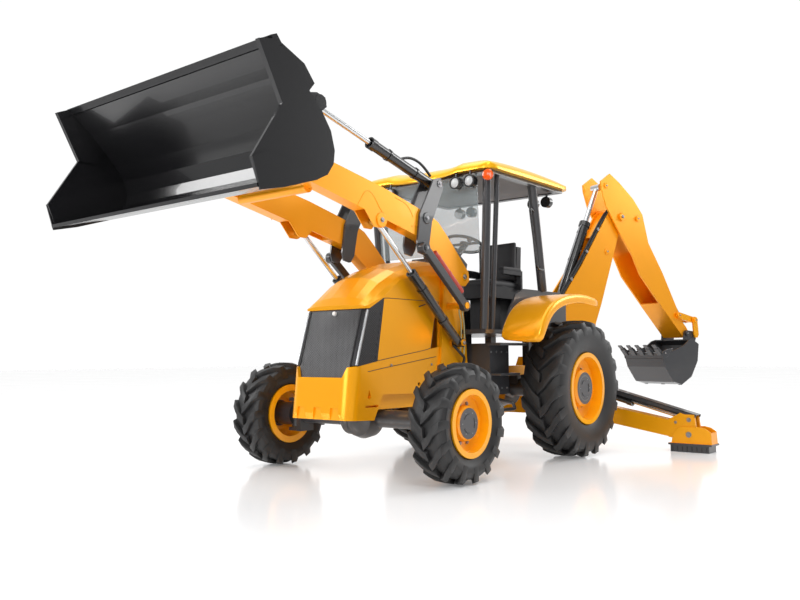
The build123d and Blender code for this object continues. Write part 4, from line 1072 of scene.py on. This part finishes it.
# a padded form between two corners, crowned along one axis; its edges draw in between the corners
def cushion(name, low, high, crown, axis):
    centre = (Vector(low) + Vector(high)) / 2
    half = (Vector(high) - Vector(low)) / 2
    first, second = (k for k in range(3) if k != axis)

    def build(bm):
        upper = bmesh.ops.create_grid(bm, x_segments=18, y_segments=18, size=1.0)["verts"]
        copied = bmesh.ops.duplicate(bm, geom=list(bm.faces))["geom"]
        lower = [v for v in copied if isinstance(v, bmesh.types.BMVert)]
        for group, way in ((upper, 1), (lower, -1)):
            for v in group:
                u, w = v.co.x, v.co.y
                swell = (1 - abs(u) ** 6) * (1 - abs(w) ** 6)
                tuck = 1 - seat["tuck"] * (1 - abs(u * w))
                seam = seat["seamDepth"] * math.exp(-((abs(u) - seat["seam"]) / seat["seamWidth"]) ** 2)
                out = Vector((0, 0, 0))
                out[first] = u * half[first] * (tuck if abs(u) > 0.99 else 1)
                out[second] = w * half[second] * (tuck if abs(w) > 0.99 else 1)
                depth = half[axis] * (0.55 + 0.45 * swell ** 0.5 - (seam * swell if way > 0 else 0.0))
                depth = depth + crown * (1 - u * u) * (1 - w * w) if way > 0 else depth * -0.9
                out[axis] = depth
                v.co = out + place(*centre)
        bmesh.ops.bridge_loops(bm, edges=[e for e in bm.edges if e.is_boundary])
    piece = finishPiece(name, meshFrom(name, build), "chassis", "seat_cover")
    soft = piece.modifiers.new("soft", "SUBSURF")
    soft.levels = soft.render_levels = 1


cushion("seatPad", (-0.245, -0.45, 1.69), (0.245, 0.06, 1.79), 0.022, 2)
cushion("backPad", (-0.232, -0.01, 1.79), (0.232, 0.085, 2.215), 0.02, 1)
for corner, side in sides:
    inner, outer = sorted((side * 0.232, side * 0.294))
    cushion("armPad" + corner, (inner, -0.31, 1.885), (outer, 0.05, 1.925), 0.006, 2)
print("seat made")

studio = {
    "floor": (0.9, 0.9, 0.905), "floorGlow": 0.13,
    "bright": (-0.634, 0.773, 0.0), "ambient": (0.34, 1.02),  # the side the light comes from, and its range
    "lamps": [  # name, place, power, size
        ("key", (7.5, -7.0, 8.5), 480, 4.0),
        ("front", (1.5, -12.0, 4.0), 360, 5.0),
        ("sheen", (-6.5, -9.0, 6.0), 420, 3.5),
        ("top", (0.0, -0.5, 9.5), 470, 9.0),
        ("rear", (6.0, 8.0, 6.0), 320, 4.0),
    ],
}
view = {"lens": 37.345, "sensor": 36.0, "at": (4.87, -7.57, 1.011), "pitch": 93.828, "turn": 39.362,
        "roll": -0.0055}


def makeFloor():
    floorMesh = meshFrom("floor", lambda bm: bmesh.ops.create_grid(bm, x_segments=1, y_segments=1, size=60.0))
    floor = newObject("floor", floorMesh)
    s = Shader("studioFloor")
    cloud = s.noise(0.6, 2.0)
    s.set(colour=studio["floor"], roughness=cloud * 0.05 + 0.12, metallic=0.0)
    s.surface.inputs["Emission Color"].default_value = (1, 1, 1, 1)
    s.surface.inputs["Emission Strength"].default_value = studio["floorGlow"]
    floorMesh.materials.append(s.material)


def makeWorld():
    world = bpy.data.worlds.new("studio")
    bpy.context.scene.world = world
    world.use_nodes = True
    tree = world.node_tree
    ambient = tree.nodes["Background"]
    direction = tree.nodes.new("ShaderNodeTexCoord")
    facing = tree.nodes.new("ShaderNodeVectorMath")
    facing.operation = "DOT_PRODUCT"
    facing.inputs[1].default_value = studio["bright"]
    tree.links.new(direction.outputs["Generated"], facing.inputs[0])
    ramp = tree.nodes.new("ShaderNodeMapRange")
    dim, full = studio["ambient"]
    for label, value in (("From Min", 0.05), ("From Max", 0.55), ("To Min", dim), ("To Max", full)):
        ramp.inputs[label].default_value = value
    tree.links.new(facing.outputs["Value"], ramp.inputs["Value"])
    tree.links.new(ramp.outputs[0], ambient.inputs[1])
    ambient.inputs[0].default_value = (1, 1, 1, 1)


def makeLights():
    for name, spot, power, size in studio["lamps"]:
        light = bpy.data.lights.new(name, "AREA")
        light.energy = power
        light.size = size
        lamp = newObject(name, light)
        lamp.location = spot
        lamp.rotation_euler = (Vector((0, 0, 1.2)) - Vector(spot)).to_track_quat("-Z", "Y").to_euler()


def makeCamera():
    data = bpy.data.cameras.new("view")
    data.lens = view["lens"]
    data.sensor_width = view["sensor"]
    camera = newObject("view", data)
    camera.location = place(*view["at"])
    aim = Euler((math.radians(view["pitch"]), 0.0, math.radians(view["turn"]))).to_matrix()
    camera.rotation_euler = (aim @ Matrix.Rotation(view["roll"], 3, "Z")).to_euler()
    bpy.context.scene.camera = camera
    bpy.context.scene.view_settings.view_transform = "Standard"
    bpy.context.scene.view_settings.exposure = 0.0


makeFloor()
makeWorld()
makeLights()
makeCamera()
print("studio set")

bpy.data.objects.remove(boltPiece)
